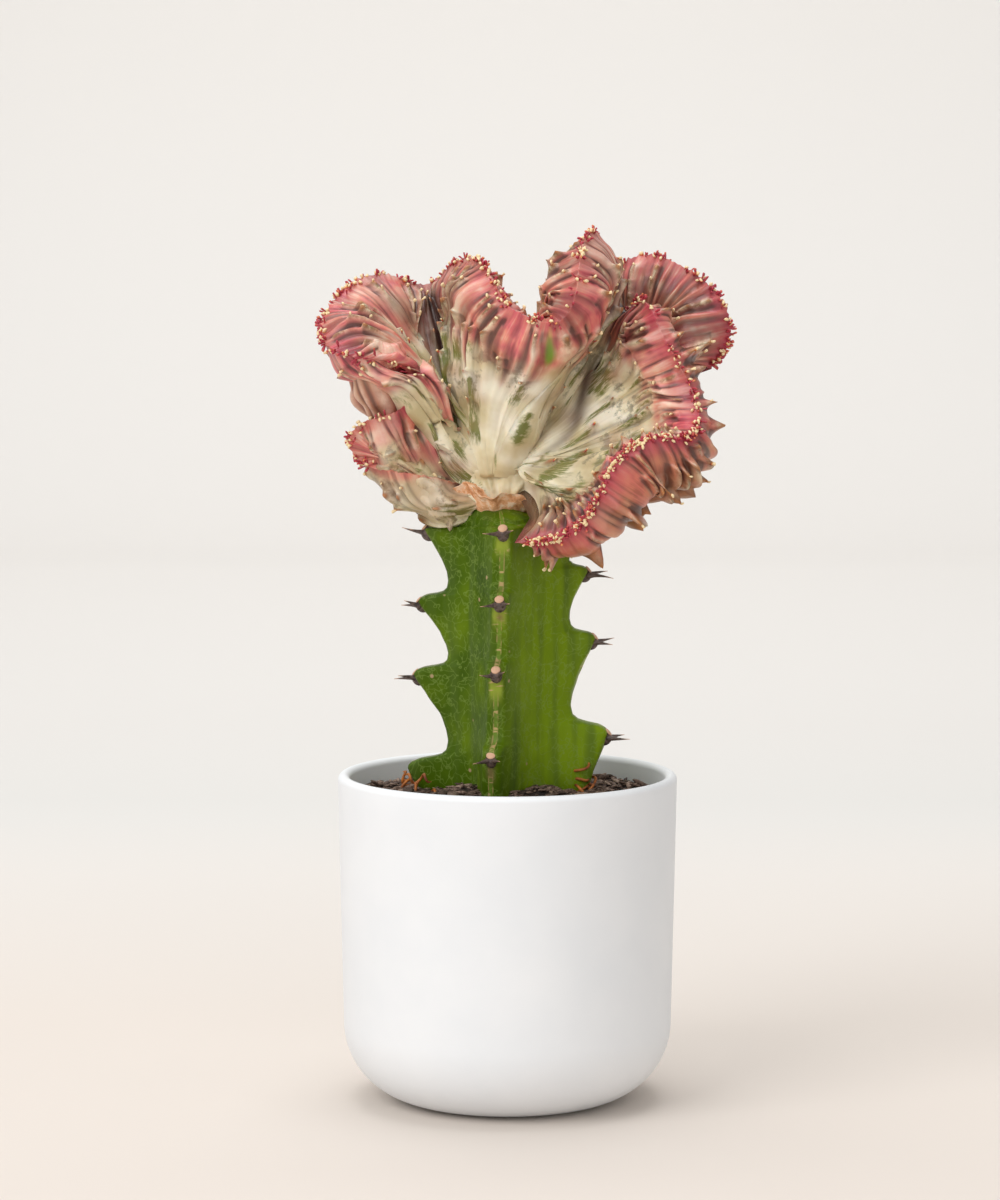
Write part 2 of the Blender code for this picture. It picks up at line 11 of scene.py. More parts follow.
import bpy
import numpy as np
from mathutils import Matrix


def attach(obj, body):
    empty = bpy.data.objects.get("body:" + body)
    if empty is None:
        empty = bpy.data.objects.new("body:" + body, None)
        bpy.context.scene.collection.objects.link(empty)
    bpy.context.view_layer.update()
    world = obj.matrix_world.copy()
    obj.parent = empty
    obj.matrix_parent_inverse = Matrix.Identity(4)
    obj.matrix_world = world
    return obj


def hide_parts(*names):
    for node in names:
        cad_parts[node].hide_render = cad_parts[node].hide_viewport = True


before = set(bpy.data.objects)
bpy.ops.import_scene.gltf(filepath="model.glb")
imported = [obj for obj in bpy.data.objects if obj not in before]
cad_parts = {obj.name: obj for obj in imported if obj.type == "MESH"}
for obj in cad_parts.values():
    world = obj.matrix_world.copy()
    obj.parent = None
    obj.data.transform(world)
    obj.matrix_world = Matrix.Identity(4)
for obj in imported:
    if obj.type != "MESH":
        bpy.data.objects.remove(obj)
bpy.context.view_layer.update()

bl_info = {
    "name": "Potted dragon bone euphorbia",
    "version": (1, 0, 0),
    "blender": (4, 5, 0),
    "location": "View3D > Sidebar > Euphorbia",
    "description": "Builds the skin, spines, soil and pot of a grafted, crested euphorbia",
    "category": "Add Mesh",
}

MM = 0.001

# Pot: a near-straight cylinder with a big rounded bottom corner
POT_HEIGHT = 126.0
POT_LIP_RADIUS = 65.0
POT_WALL_FOOT_RADIUS = 63.0
POT_CORNER_RADIUS = 30.0
POT_WALL = 4.6
POT_FLOOR = 6.0
SOIL_EDGE_HEIGHT = 116.5
SOIL_MOUND = 5.0
SOIL_GAP = 0.4  # between the soil and the pot's wall

# Rootstock: four wings, whose teeth stand at these heights from the top down
STEM_X = 0.5
STEM_TOP = 225.5
STEM_FOOT = 72.0
STEM_TWIST = 0.08  # degrees a millimetre, going down
WING_EDGE_HALF = 5.2  # millimetres from the middle of a wing's edge over which its colours fade
WING_SHARPNESS = 7.0  # power of the soft minimum that joins a wing's flank and its edge
SPINY = (129.0, 223.0)  # heights between which the teeth bear spines
WINGS = {
    # name: (angle in degrees at the top, tooth heights, tooth reach, reach between the teeth)
    "right": (-2.0, (225.0, 203.5, 178.0, 141.5), (22.0, 30.5, 33.0, 38.5), 24.0),
    "back": (88.0, (214.0, 188.0, 160.0, 130.0), (29.0, 32.0, 35.0, 38.0), 24.0),
    "left": (180.0, (219.5, 191.5, 163.5, 127.0), (32.0, 34.5, 36.0, 39.5), 23.5),
    "front": (-94.0, (221.5, 195.0, 168.5, 136.5), (31.0, 32.5, 33.5, 35.0), 28.0),
}
# Flank of a wing: degrees from its middle, and distance from the stem's axis
FLANK = ((0, 90), (4, 55), (8, 33), (12, 27), (18, 23), (27, 20), (36, 18.4), (45, 18))
# Outline of a wing's edge from one tooth tip down to the next: share of the way, share of the tooth's reach
TOOTH = (
    (0.0, 1.0), (0.05, 0.93), (0.2, 0.62), (0.40, 0.28), (0.58, 0.07), (0.70, 0.0), (0.79, 0.04),
    (0.84, 0.16), (0.87, 0.42), (0.89, 0.72), (0.93, 0.93), (0.97, 1.0), (1.0, 1.0),
)

# Camera that took the photo: focal length for a 36 mm high sensor, place in metres and tilt downwards
PHOTO_LENS = 118.36
PHOTO_PLACE = (-0.00285, -1.5, 0.33964)
PHOTO_TILT = 5.6

# Graft
GRAFT_X = -2.5
GRAFT_HALF = (14.5, 10.0)
CALLUS_BOTTOM = 225.85
CALLUS_TOP = 231.0

# Crest: its ribs start on a small arc round this centre and end on the winding rim
HUB = (-3.0, 0.0, 236.0)
HUB_RADIUS = 8.0
HUB_HALF = (22.0, 11.5, 14.0)
# Swellings that fill the crest out: centre, half sizes, lean of the top to the left and the front, taper
# towards the bottom, flutes and their depth, and how pink, grey and tan each is
SWELLINGS = {
    "crest_heart": (HUB, HUB_HALF, (0, 0), 0.0, 13, 0.02, 0.0, 0.3, 0.0),
    "crest_drop": ((-26.5, -11.5, 231.5), (8.0, 6.0, 10.5), (5.0, 3.0), 0.75, 6, 0.03, 0.0, 0.75, 0.35),
    "crest_brow": ((-48.0, -16.0, 287.0), (10.5, 8.5, 8.0), (0, 0), 0.0, 5, 0.015, 1.0, 0.3, 0.0),
    "crest_cheek": ((-49.0, -12.5, 272.0), (10.0, 9.0, 13.0), (4.5, 3.0), 0.3, 9, 0.06, 1.0, 1.0, 0.3),
}
HUB_PULL = 0.42  # share of a rib's span over which it keeps the way it leaves the hub
RIM_PULL = 0.40  # and over which it follows the rim's growth
EDGE_DEPTH = 15.0
FOLD_END = 7.0  # length over which a fold closes at each end of its rim
RIM_CROWDING = 1.4  # how strongly the rows of a fold's grid crowd towards its rim
ROWS = 80
COLUMNS_PER_RIB = 10
MAIN_LENGTH = 300.0  # only the main fold's rim is longer than this
INNER_DEPTH = 22.0  # distance from the rim at which the ribs begin to give way to long streaks
RIDGE_RAYS, GREEN_RAYS = 151, 152  # seeds of the streaks that lift the skin and of the green ones
PARTINGS = (0.0, 0.146, 0.683, 1.0)  # shares of the rim, deep in its crevices, where the crest's pieces meet

# Rim of the main fold, from the lower left to the roll in front of the stem: x, y, z, then the way
# it grows, then half of its thickness
MAIN_RIM = (
    (-19.5, -13, 238.0, -1, -7, 4, 3), (-26.0, -16, 240.0, -3, -7, 5, 5.0),
    (-34.0, -18, 241.5, -4, -7, 6, 6.5), (-43.0, -18, 242.8, -5, -7, 5, 7),
    (-51.0, -17, 244.3, -7, -6, 3, 7.5), (-57.0, -17, 248.3, -8, -5, 1, 8),
    (-59.2, -20, 254.5, -7, -6, 1, 7), (-55.8, -24, 260.4, -4, -8, 3, 6), (-48.8, -25, 263.3, -1, -8, 6, 5),
    (-42.0, -22, 265.2, 1, -8, 5, 4.5), (-37.0, -18, 269.3, -3, -9, 2, 4),
    (-35.8, -17, 275.3, -7, -7, 0, 4), (-38.6, -20, 281.3, -8, -6, 0, 4.5),
    (-46.6, -26, 285.1, -8, -6, 0, 5), (-56.4, -31, 286.3, -8, -6, 0, 5.5),
    (-64.2, -30, 288.9, -9, -5, 1, 7.5), (-69.4, -22, 293.2, -10, -3, 2, 11),
    (-69.5, -10, 300.3, -9, -1, 5, 10.5), (-65.0, 0, 307.2, -7, 0, 7, 9), (-57.7, 8, 313.9, -5, 1, 9, 8),
    (-47.9, 13, 316.3, -1, 1, 10, 8), (-39.6, 18, 314.3, 2, 2, 10, 8), (-32.7, 24, 312.1, 1, 4, 9, 8),
    (-26.3, 23, 314.6, -1, 3, 10, 8), (-21.8, 15, 319.5, -2, -1, 10, 8), (-16.2, 6, 322.5, -1, -3, 10, 8.5),
    (-10.8, -6, 322.0, 1, -6, 8, 9), (-7.0, -16, 316.9, 3, -8, 6, 9), (-3.2, -23, 310.0, 3, -9, 5, 9),
    (1.6, -28, 304.1, 1, -8, 6, 9), (9.4, -32, 300.5, 0, -8, 6, 9), (17.2, -35, 299.1, 0, -9, 4, 9),
    (22.5, -37, 302.8, 0, -10, 2, 9.5), (25.3, -36, 310.8, -2, -10, 3, 10),
    (26.6, -30, 320.5, -1, -9, 5, 10.5), (28.4, -21, 328.4, -1, -7, 7, 10.5),
    (31.4, -9, 332.5, 0, -3, 10, 10.5), (34.5, 2, 331.0, 1, 2, 10, 9.5), (36.0, 12, 323.5, 1, 6, 8, 8),
    (37.0, 18, 311.0, 0, 6, 8, 7), (41.0, 18, 300.0, 0, 3, 9, 6), (45.5, 10, 301.5, -1, 0, 9, 6.5),
    (49.5, -3, 307.0, 0, -5, 8, 7.5), (54.0, -14, 303.5, 0, -9, 4, 8), (58.5, -21, 293.2, 1, -10, 1, 9),
    (65.0, -25, 281.5, 1, -10, 0, 9), (70.0, -30, 270.3, 2, -9, 0, 9), (70.7, -38, 261.4, 1, -9, 3, 9),
    (64.7, -46, 257.2, -2, -8, 6, 9), (55.8, -51, 257.6, -4, -6, 7, 9), (46.4, -53, 255.0, -6, -6, 6, 9),
    (38.9, -53, 247.4, -8, -5, 4, 9), (34.3, -51, 238.1, -9, -5, 3, 9), (29.8, -49, 229.5, -8, -6, 2, 8.5),
    (23.8, -46, 223.0, -7, -7, 1, 8.5), (16.5, -43, 219.3, -7, -7, 0, 8.5),
    (9.5, -40, 218.3, -8, -6, -1, 8), (3.0, -37, 217.6, -9, -4, -2, 6),
)
# Where the ribs of the main fold leave the hub: share of the rim's length, and the leaving direction
MAIN_ROOTS = (
    (0.00, -8, -6, 1), (0.03, -9, -4, -3), (0.07, -9, -2, -5), (0.12, -10, -2, -3), (0.17, -9, -3, 4),
    (0.20, -8, -3, 6.5), (0.24, -8, -2.5, 7.5), (0.33, -7, 2, 9), (0.40, -5, 1, 10), (0.47, -2, -3, 10),
    (0.52, 1, -4, 10), (0.57, 2, 0, 10), (0.62, 4, 3, 9.5), (0.67, 6, 4, 9), (0.74, 9, 0, 7),
    (0.82, 10, -3, 3), (0.92, 8, -7, 0), (1.00, 7, -7, 0),
)
# Rim and roots of the separate fan behind, on the right
BACK_RIM = (
    (36.0, 33, 303.0, -4, 6, 7, 5), (40.0, 31, 315.0, -3, 4, 9, 6), (47.5, 27, 322.0, -1, 1, 10, 6.5),
    (56.5, 22, 323.5, 1, -1, 10, 7), (65.5, 18, 320.0, 3, -3, 9, 7), (73.5, 14, 315.0, 5, -4, 8, 7),
    (80.5, 10, 308.0, 8, -4, 6, 7), (84.5, 8, 299.0, 10, -2, 3, 6.5), (83.5, 9, 289.0, 10, -1, 0, 6),
    (77.5, 11, 280.5, 9, 0, -3, 5),
)
BACK_ROOTS = ((0.0, 4, 8, 8), (0.5, 7, 7, 7), (1.0, 9, 4, 4))

# By share of the rim, on the front and the back of a fold: width in millimetres of the pink band
FRONT_BLUSH = (
    (0.00, 2), (0.05, 4), (0.07, 22), (0.13, 24), (0.15, 26), (0.18, 28), (0.205, 24), (0.225, 26),
    (0.28, 26), (0.31, 34), (0.34, 44), (0.39, 36), (0.45, 30), (0.48, 20), (0.52, 24), (0.55, 70),
    (0.62, 70), (0.66, 24), (0.72, 24), (0.80, 22), (0.86, 16), (0.92, 15), (1.00, 15),
)
BACK_BLUSH = (
    (0.0, 1), (0.085, 2), (0.105, 26), (0.15, 38), (0.24, 38), (0.5, 34), (0.6, 60), (0.66, 28),
    (0.8, 34), (0.88, 18), (1.0, 14),
)
FAN_BLUSH = ((0.0, 44), (0.8, 40), (1.0, 14))
# How far the pink there turns to grey and brown
FRONT_GREY = (
    (0.00, 0.3), (0.07, 0.1), (0.12, 0.0), (0.16, 0.15), (0.20, 0.0), (0.27, 0.1), (0.31, 0.8), (0.35, 1.0),
    (0.385, 0.8), (0.43, 0.6), (0.46, 0.2), (0.49, 0.05), (0.53, 0.2), (0.56, 0.6), (0.62, 0.7),
    (0.66, 0.9), (0.70, 0.5), (0.74, 0.2), (0.80, 0.1), (0.95, 0.2), (1.00, 0.5),
)
BACK_GREY = (
    (0.0, 0.5), (0.08, 0.5), (0.11, 0.1), (0.22, 0.0), (0.27, 0.4), (0.5, 0.4), (0.62, 0.5), (0.8, 0.2),
    (1.0, 0.3),
)
FAN_GREY = ((0.0, 0.5), (0.5, 0.25), (1.0, 0.45))
# How far the cream there turns tan
FRONT_TAN = ((0.0, 0.5), (0.08, 0.1), (0.16, 0.0), (0.6, 0.1), (0.95, 0.0), (1.0, 0.2))
BACK_TAN = ((0.0, 0.35), (0.12, 0.3), (0.14, 0.0), (0.6, 0.1), (0.75, 0.3), (0.84, 0.9), (1.0, 1.0))
FAN_TAN = ((0.0, 0.1), (1.0, 0.1))
# How crimson the rim itself is
RIM_CRIMSON = (
    (0.0, 0.1), (0.12, 0.4), (0.2, 0.35), (0.6, 0.3), (0.68, 0.5), (0.8, 0.6), (0.86, 0.95), (1.0, 0.9),
)
# How large the teeth are
FRONT_VIGOUR = (
    (0.0, 0.9), (0.14, 0.9), (0.16, 0.8), (0.205, 0.8), (0.225, 0.9), (0.6, 0.9), (0.7, 1.0), (0.85, 1.1),
    (1.0, 1.3),
)
BACK_VIGOUR = (
    (0.0, 0.6), (0.12, 0.7), (0.14, 1.1), (0.2, 0.8), (0.66, 0.8), (0.72, 1.3), (0.84, 1.6), (0.88, 2.3),
    (1.0, 2.4),
)
FAN_VIGOUR = ((0.0, 1.0), (1.0, 1.0))
# Painted shade down the valleys where the folds meet: share of the main rim, its shift for each mm from
# the rim, half width and strength
CREVICE_SHADES = ((0.364, 0.0, 0.016, 1.5), (0.64, 0.0025, 0.015, 2.0))
FRESH_SPOT = (0.5045, 9.5)  # a fresh green spot on the pink: share of the main rim, and distance from it
# Rows of teeth on the crest: distance from the rim, ribs from one to the next, share of those ribs that bear
# one, and its height
TOOTH_ROWS = (
    (3.0, 1, 0.35, 1.5), (8.0, 1, 0.5, 2.8), (16.0, 1, 0.45, 3.2), (27.0, 2, 0.6, 2.8), (40.0, 2, 0.5, 2.6),
    (54.0, 4, 0.6, 2.4),
)
RIDGES_APART = (2.2, 14.0)  # ridges that stand closer or farther apart than this fade away
GREEN_FROM = 12.0  # distance from the rim beyond which a tooth may trail a green streak
CREVICE_SHADE_END = 78.0  # distance from the rim at which the painted shade in the crevices has faded away


def linear(colour):
    """An sRGB hex colour as linear red, green, blue and alpha."""
    parts = [int(colour[place : place + 2], 16) / 255 for place in (1, 3, 5)]
    return (*(p / 12.92 if p <= 0.04045 else ((p + 0.055) / 1.055) ** 2.4 for p in parts), 1.0)


def add(tree, kind, inputs=None, out=0, stops=(), **told):
    """Adds a shader node with its colour stops, inputs and settings, and gives one of its outputs.

    What is told with a capital letter is an input too, with _ for each space in its name, and the rest are
    settings. An input that is another node's output is linked, and a hex colour is made linear.
    """
    made = tree.nodes.new("ShaderNode" + kind)
    inputs = dict(inputs or {})
    for name, value in told.items():
        if name[0].isupper():
            inputs[name.replace("_", " ")] = value
        else:
            setattr(made, name, value)
    for number, (place, colour) in enumerate(stops):
        ramp = made.color_ramp.elements
        element = ramp[0] if number == 0 else ramp[-1] if number == 1 else ramp.new(place)
        element.position = place
        element.color = linear(colour) if isinstance(colour, str) else colour
    for name, value in inputs.items():
        if isinstance(value, bpy.types.NodeSocket):
            tree.links.new(value, made.inputs[name])
        else:
            made.inputs[name].default_value = linear(value) if isinstance(value, str) else value
    return made.outputs[out] if made.outputs else None


def new_material(name):
    """An empty node material, and add for its own tree."""
    finish = bpy.data.materials.new(name)
    finish.use_nodes = True
    finish.node_tree.nodes.clear()
    return finish, functools.partial(add, finish.node_tree)


def grid_faces(rows, columns, close_columns=False):
    """Quads between neighbouring points of a grid. Closed columns join the last to the first."""
    row = np.arange(rows - 1)[:, None] * columns
    column = np.arange(columns if close_columns else columns - 1)[None, :]
    after = (column + 1) % columns
    below = row + columns
    return np.stack([row + column, row + after, below + after, below + column], -1).reshape(-1, 4)


def closed_tubes(rings):
    """Points, quads and end triangles of (tubes, count, sides, 3), each end closed by its middle point."""
    tubes, count, sides = rings.shape[:3]
    points = np.concatenate([rings.reshape(tubes, -1, 3), rings[:, [0, -1]].mean(axis=2)], axis=1)
    around = np.arange(sides)
    after = (around + 1) % sides
    last = (count - 1) * sides
    middle = np.full(sides, count * sides)
    ends = np.stack([middle, after, around], 1), np.stack([middle + 1, last + around, last + after], 1)
    shift = (np.arange(tubes) * points.shape[1])[:, None, None]
    quads = (grid_faces(count, sides, close_columns=True) + shift).reshape(-1, 4)
    return points.reshape(-1, 3), quads, (np.concatenate(ends) + shift).reshape(-1, 3)


def each_point(values, rings):
    """One number for each point of closed_tubes, from one for each tube or for each ring point."""
    values = np.asarray(values, float)
    if values.ndim == 1:
        values = values[:, None, None]
    values = np.broadcast_to(values, rings.shape[:3])
    return np.concatenate([values.reshape(len(rings), -1), values[:, [0, -1]].mean(axis=2)], axis=1).ravel()


def make_piece(name, rings, finish, slot, nodes, places=None, **marks):
    """A smooth mesh object of closed tubes that rides on the root body.

    rings holds points in millimetres, (count, sides, 3) for one tube or (tubes, count, sides, 3) for many.
    marks are named numbers for each tube or ring point, and places are two such, the UV coordinates. The
    piece takes the finish that it is given and stands for the CAD nodes that are named; slot is not used. Its
    faces are turned round where the volume that they enclose comes out negative.
    """
    rings = rings.reshape(-1, *rings.shape[-3:])
    points, quads, ends = closed_tubes(rings)
    corners = np.concatenate([quads[:, :3], quads[:, [0, 2, 3]], ends])
    a, b, c = (points[corners[:, corner]] for corner in range(3))
    if np.einsum("ij,ij->i", a, np.cross(b, c)).sum() < 0:
        quads, ends = quads[:, ::-1], ends[:, ::-1]
    mesh = bpy.data.meshes.new(name)
    mesh.vertices.add(len(points))
    mesh.vertices.foreach_set("co", (points * MM).astype(np.float32).ravel())
    corners = np.concatenate([quads.ravel(), ends.ravel()])
    mesh.loops.add(len(corners))
    mesh.loops.foreach_set("vertex_index", corners.astype(np.int32))
    starts = np.concatenate([np.arange(len(quads)) * 4, quads.size + np.arange(len(ends)) * 3])
    mesh.polygons.add(len(starts))
    mesh.polygons.foreach_set("loop_start", starts.astype(np.int32))
    mesh.update(calc_edges=True)
    mesh.validate()
    mesh.shade_smooth()
    for mark, values in marks.items():
        layer = mesh.attributes.new(mark, "FLOAT", "POINT")
        layer.data.foreach_set("value", each_point(values, rings).astype(np.float32))
    if places:
        layer = mesh.uv_layers.new(name="UVMap")
        order = np.empty(len(mesh.loops), np.int32)
        mesh.loops.foreach_get("vertex_index", order)
        flat = np.stack([each_point(values, rings)[order] for values in places], axis=1)
        layer.uv.foreach_set("vector", flat.astype(np.float32).ravel())
    mesh.materials.append(finish)
    piece = bpy.data.objects.new(name, mesh)
    bpy.context.scene.collection.objects.link(piece)
    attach(piece, "root")
    if nodes:
        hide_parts(*nodes)


def unit(vectors):
    """Vectors divided by their own length."""
    return vectors / np.maximum(np.linalg.norm(vectors, axis=-1, keepdims=True), 1e-9)


def limit(values):
    """Values held between 0 and 1."""
    return np.clip(values, 0, 1)


def ease(values):
    """A soft step: x squared times (3 - 2x), with x held between 0 and 1."""
    x = limit(values)
    return x**2 * (3 - 2 * x)


def bell(values):
    """A bell that is 1 high at 0: e to the power of minus x squared."""
    return np.exp(-(values**2))


def full_turn(steps):
    """Even steps of angle round a circle, in radians."""
    return np.linspace(0, 2 * np.pi, steps, endpoint=False)


def around_z(radius, turn, height):
    """Points round the Z axis: the radius times the cosine and the sine of the turn, and the height."""
    return np.stack(np.broadcast_arrays(radius * np.cos(turn), radius * np.sin(turn), height), axis=-1)


def swung(across, up, turn):
    """Directions turned from across towards up: across times the cosine, and up times the sine."""
    return across * np.cos(turn) + up * np.sin(turn)


def ripple(points, size, seed):
    """An uneven field from about -1 to 1: the sum of 20 sine waves each way, about size mm long."""
    draw = np.random.default_rng(seed)
    ways = unit(draw.normal(size=(20, 3))) * (2 * np.pi / (size * draw.uniform(0.6, 1.8, 20)))[:, None]
    return np.sin(points @ ways.T + draw.uniform(0, 2 * np.pi, 20)).sum(axis=-1) / 4.5


def rays(points, seed):
    """Long streaks that spread from the graft: ripples over the angle about it, drawn out along its rays."""
    across, up = points[..., 0] - HUB[0], points[..., 2] - CALLUS_BOTTOM
    angle, far = np.arctan2(up, across), np.hypot(across, up)
    return ripple(np.stack([angle * 30, far * 0.25, points[..., 1] * 0.3], axis=-1), 6.0, seed)


def table(keys, at):
    """Reads a table of (place, value) rows at any places, straight between its rows."""
    return np.interp(at, *np.transpose(keys))


def arc(centre, radius, start, end, steps):
    """Points (radius, height) of an arc, angles in degrees."""
    turn = np.radians(np.linspace(start, end, steps + 1))
    return np.stack([centre[0] + radius * np.cos(turn), centre[1] + radius * np.sin(turn)], axis=1)


def cavity_radius(height):
    """Radius of the pot's inside above its corner."""
    rise = (height - POT_CORNER_RADIUS) / (POT_HEIGHT - POT_CORNER_RADIUS)
    return POT_WALL_FOOT_RADIUS + (POT_LIP_RADIUS - POT_WALL_FOOT_RADIUS) * rise - POT_WALL


def pot_rings(sides):
    """The pot: one profile of (radius, height), inside floor to lip to base, turned round the Z axis."""
    half = POT_WALL / 2
    inner = POT_CORNER_RADIUS - POT_WALL
    foot = POT_WALL_FOOT_RADIUS - POT_WALL
    corner_centre = (POT_WALL_FOOT_RADIUS - POT_CORNER_RADIUS, POT_CORNER_RADIUS)
    inside = arc((foot - inner, POT_FLOOR + inner), inner, -90, 0, 14)
    lip = arc((POT_LIP_RADIUS - half, POT_HEIGHT - half), half, 180, 0, 14)
    corner = arc(corner_centre, POT_CORNER_RADIUS, 0, -90, 28)
    wall = np.linspace(lip[-1], corner[0], 12)[1:-1]
    profile = np.concatenate([inside, lip, wall, corner])
    return around_z(profile[:, :1], full_turn(sides), profile[:, 1:])


def stem_reach(steps, angles):
    """Distance from the stem's axis, and height, at steps down the stem and angles round it.

    Each wing is a flank that falls away from its middle, cut off by an edge that reaches out to the teeth.
    The two are joined by a soft minimum. A step counts teeth from the top, whole at each tooth tip.
    """
    fine = np.linspace(0, 1, 401)
    blur = np.exp(-(np.linspace(-1, 1, 13) ** 2) * 4)
    outline = np.convolve(np.pad(table(TOOTH, fine), 6, mode="edge"), blur / blur.sum(), "valid")
    degrees = np.linspace(0, 60, 601)
    soft = np.exp(-(np.linspace(-1, 1, 41) ** 2) * 3)
    flank_line = np.convolve(np.pad(table(FLANK, degrees), 20, mode="reflect"), soft / soft.sum(), "valid")
    whole = np.clip(np.floor(steps).astype(int), 0, 4)
    part = steps - whole
    stand = np.interp(part, fine, outline)
    stand = np.where((steps < 0.9) | (steps > 4.9), 0.0, stand)
    shape = (len(steps), len(angles))
    reach, height, total, edge_near = np.zeros(shape), np.zeros(shape), np.zeros(shape), np.zeros(shape)
    for angle, heights, tips, notch in WINGS.values():
        away = np.abs((angles - angle + 180) % 360 - 180)
        weight = ease(1 - away / 90)
        levels = (STEM_TOP + 8, *heights, STEM_FOOT)
        height += np.interp(steps, range(len(levels)), levels)[:, None] * weight
        total += weight
        above = np.array((tips[0], *tips))[whole]
        below = np.array((*tips, tips[-1]))[whole]
        edge = (notch + (np.where(part > 0.8, below, above) - notch) * stand)[:, None]
        flank = np.interp(away, degrees, flank_line)
        reach = np.maximum(reach, (edge**-WING_SHARPNESS + flank**-WING_SHARPNESS) ** (-1 / WING_SHARPNESS))
        edge_near = np.maximum(edge_near, 1 - np.radians(away) * edge / WING_EDGE_HALF)
    return reach, height / total, limit(edge_near)


def stem_rings(steps, angles):
    """Rings of the rootstock, with its neck at the graft, its tapered foot and its wings' slow twist."""
    reach, height, edge_near = stem_reach(steps, angles)
    turn = np.radians(angles - STEM_TWIST * (STEM_TOP - np.minimum(height, STEM_TOP)))
    across, deep = reach * np.cos(turn), reach * np.sin(turn)
    way = np.arctan2(deep, across)
    reach = np.hypot(across, deep)
    neck = 1 / np.hypot(np.cos(way) / GRAFT_HALF[0], np.sin(way) / GRAFT_HALF[1])
    top = ease((1.0 - steps) / 0.5)[:, None]
    reach = reach * (1 - top) + np.minimum(reach, neck) * top
    reach = reach * (1 - 0.35 * limit((steps - 4.25) / 0.75)[:, None])
    middle = STEM_X + (GRAFT_X - STEM_X) * top
    height = np.minimum(height, STEM_TOP - (1 - top) * 1.5)
    height[[0, -1]] = [[STEM_TOP], [STEM_FOOT]]
    rings = around_z(reach, way, height)
    rings[..., 0] += middle
    return rings, edge_near


def smooth_path(keys, at):
    """A Catmull-Rom curve through rows of keys, read at positions counted in keys."""
    keys = np.asarray(keys, float)
    low = np.clip(np.floor(at).astype(int), 0, len(keys) - 2)
    part = (at - low)[:, None]
    before = keys[np.maximum(low - 1, 0)]
    start, end = keys[low], keys[low + 1]
    after = keys[np.minimum(low + 2, len(keys) - 1)]
    return 0.5 * (
        2 * start
        + (end - before) * part
        + (2 * before - 5 * start + 4 * end - after) * part**2
        + (3 * start - before - 3 * end + after) * part**3
    )


def even_rim(rim, columns):
    """The rim's keys read at even steps of its length, and that length."""
    at = np.linspace(0, len(rim) - 1, 40 * len(rim))
    path = smooth_path(rim, at)
    steps = np.linalg.norm(np.diff(path[:, :3], axis=0), axis=1)
    along = np.concatenate([[0], np.cumsum(steps)])
    wanted = np.linspace(0, along[-1], columns)
    return smooth_path(rim, np.interp(wanted, along, at)), along[-1]


def fold(rim, roots, columns, rows):
    """The middle sheet of a fold, its outward and rimward directions, its half thickness and its reach.

    Each rib is a cubic curve from the hub to the rim. It leaves the hub along its root's direction and
    arrives along the rim's growth. The thickness rises from the rim like a wedge and then levels off.
    """
    keys, length = even_rim(rim, columns)
    share = np.linspace(0, 1, columns)
    roots = np.asarray(roots, float)
    leave = unit(np.stack([np.interp(share, roots[:, 0], roots[:, k]) for k in (1, 2, 3)], axis=1))
    grow = unit(keys[:, 3:6])
    start = np.array(HUB) + leave * HUB_RADIUS
    end = keys[:, :3]
    reach = np.linalg.norm(end - start, axis=1, keepdims=True)
    first, second = start + leave * reach * HUB_PULL, end - grow * reach * RIM_PULL
    t = rows[None, :, None]
    sheet = (
        start[:, None] * (1 - t) ** 3
        + first[:, None] * 3 * t * (1 - t) ** 2
        + second[:, None] * 3 * t**2 * (1 - t)
        + end[:, None] * t**3
    )
    along = np.gradient(sheet, axis=0)
    rimward = np.gradient(sheet, rows, axis=1)
    outward = unit(np.cross(along, rimward))
    depth = (1 - rows)[None, :] * reach
    half = keys[:, 6:7] * (1 - (1 - limit(depth / EDGE_DEPTH)) ** 2.0)
    ends = np.minimum(share, 1 - share) * length
    half = half * np.sqrt(limit(1 - (1 - limit(ends / FOLD_END)) ** 2))[:, None]
    return sheet, outward, unit(rimward), half, depth


def weave(phase, depth):
    """How far a rib sways aside, in ribs: a sine of the distance from the rim that starts by the phase."""
    return 0.14 * np.sin(depth / 8 + 1.3 * phase)


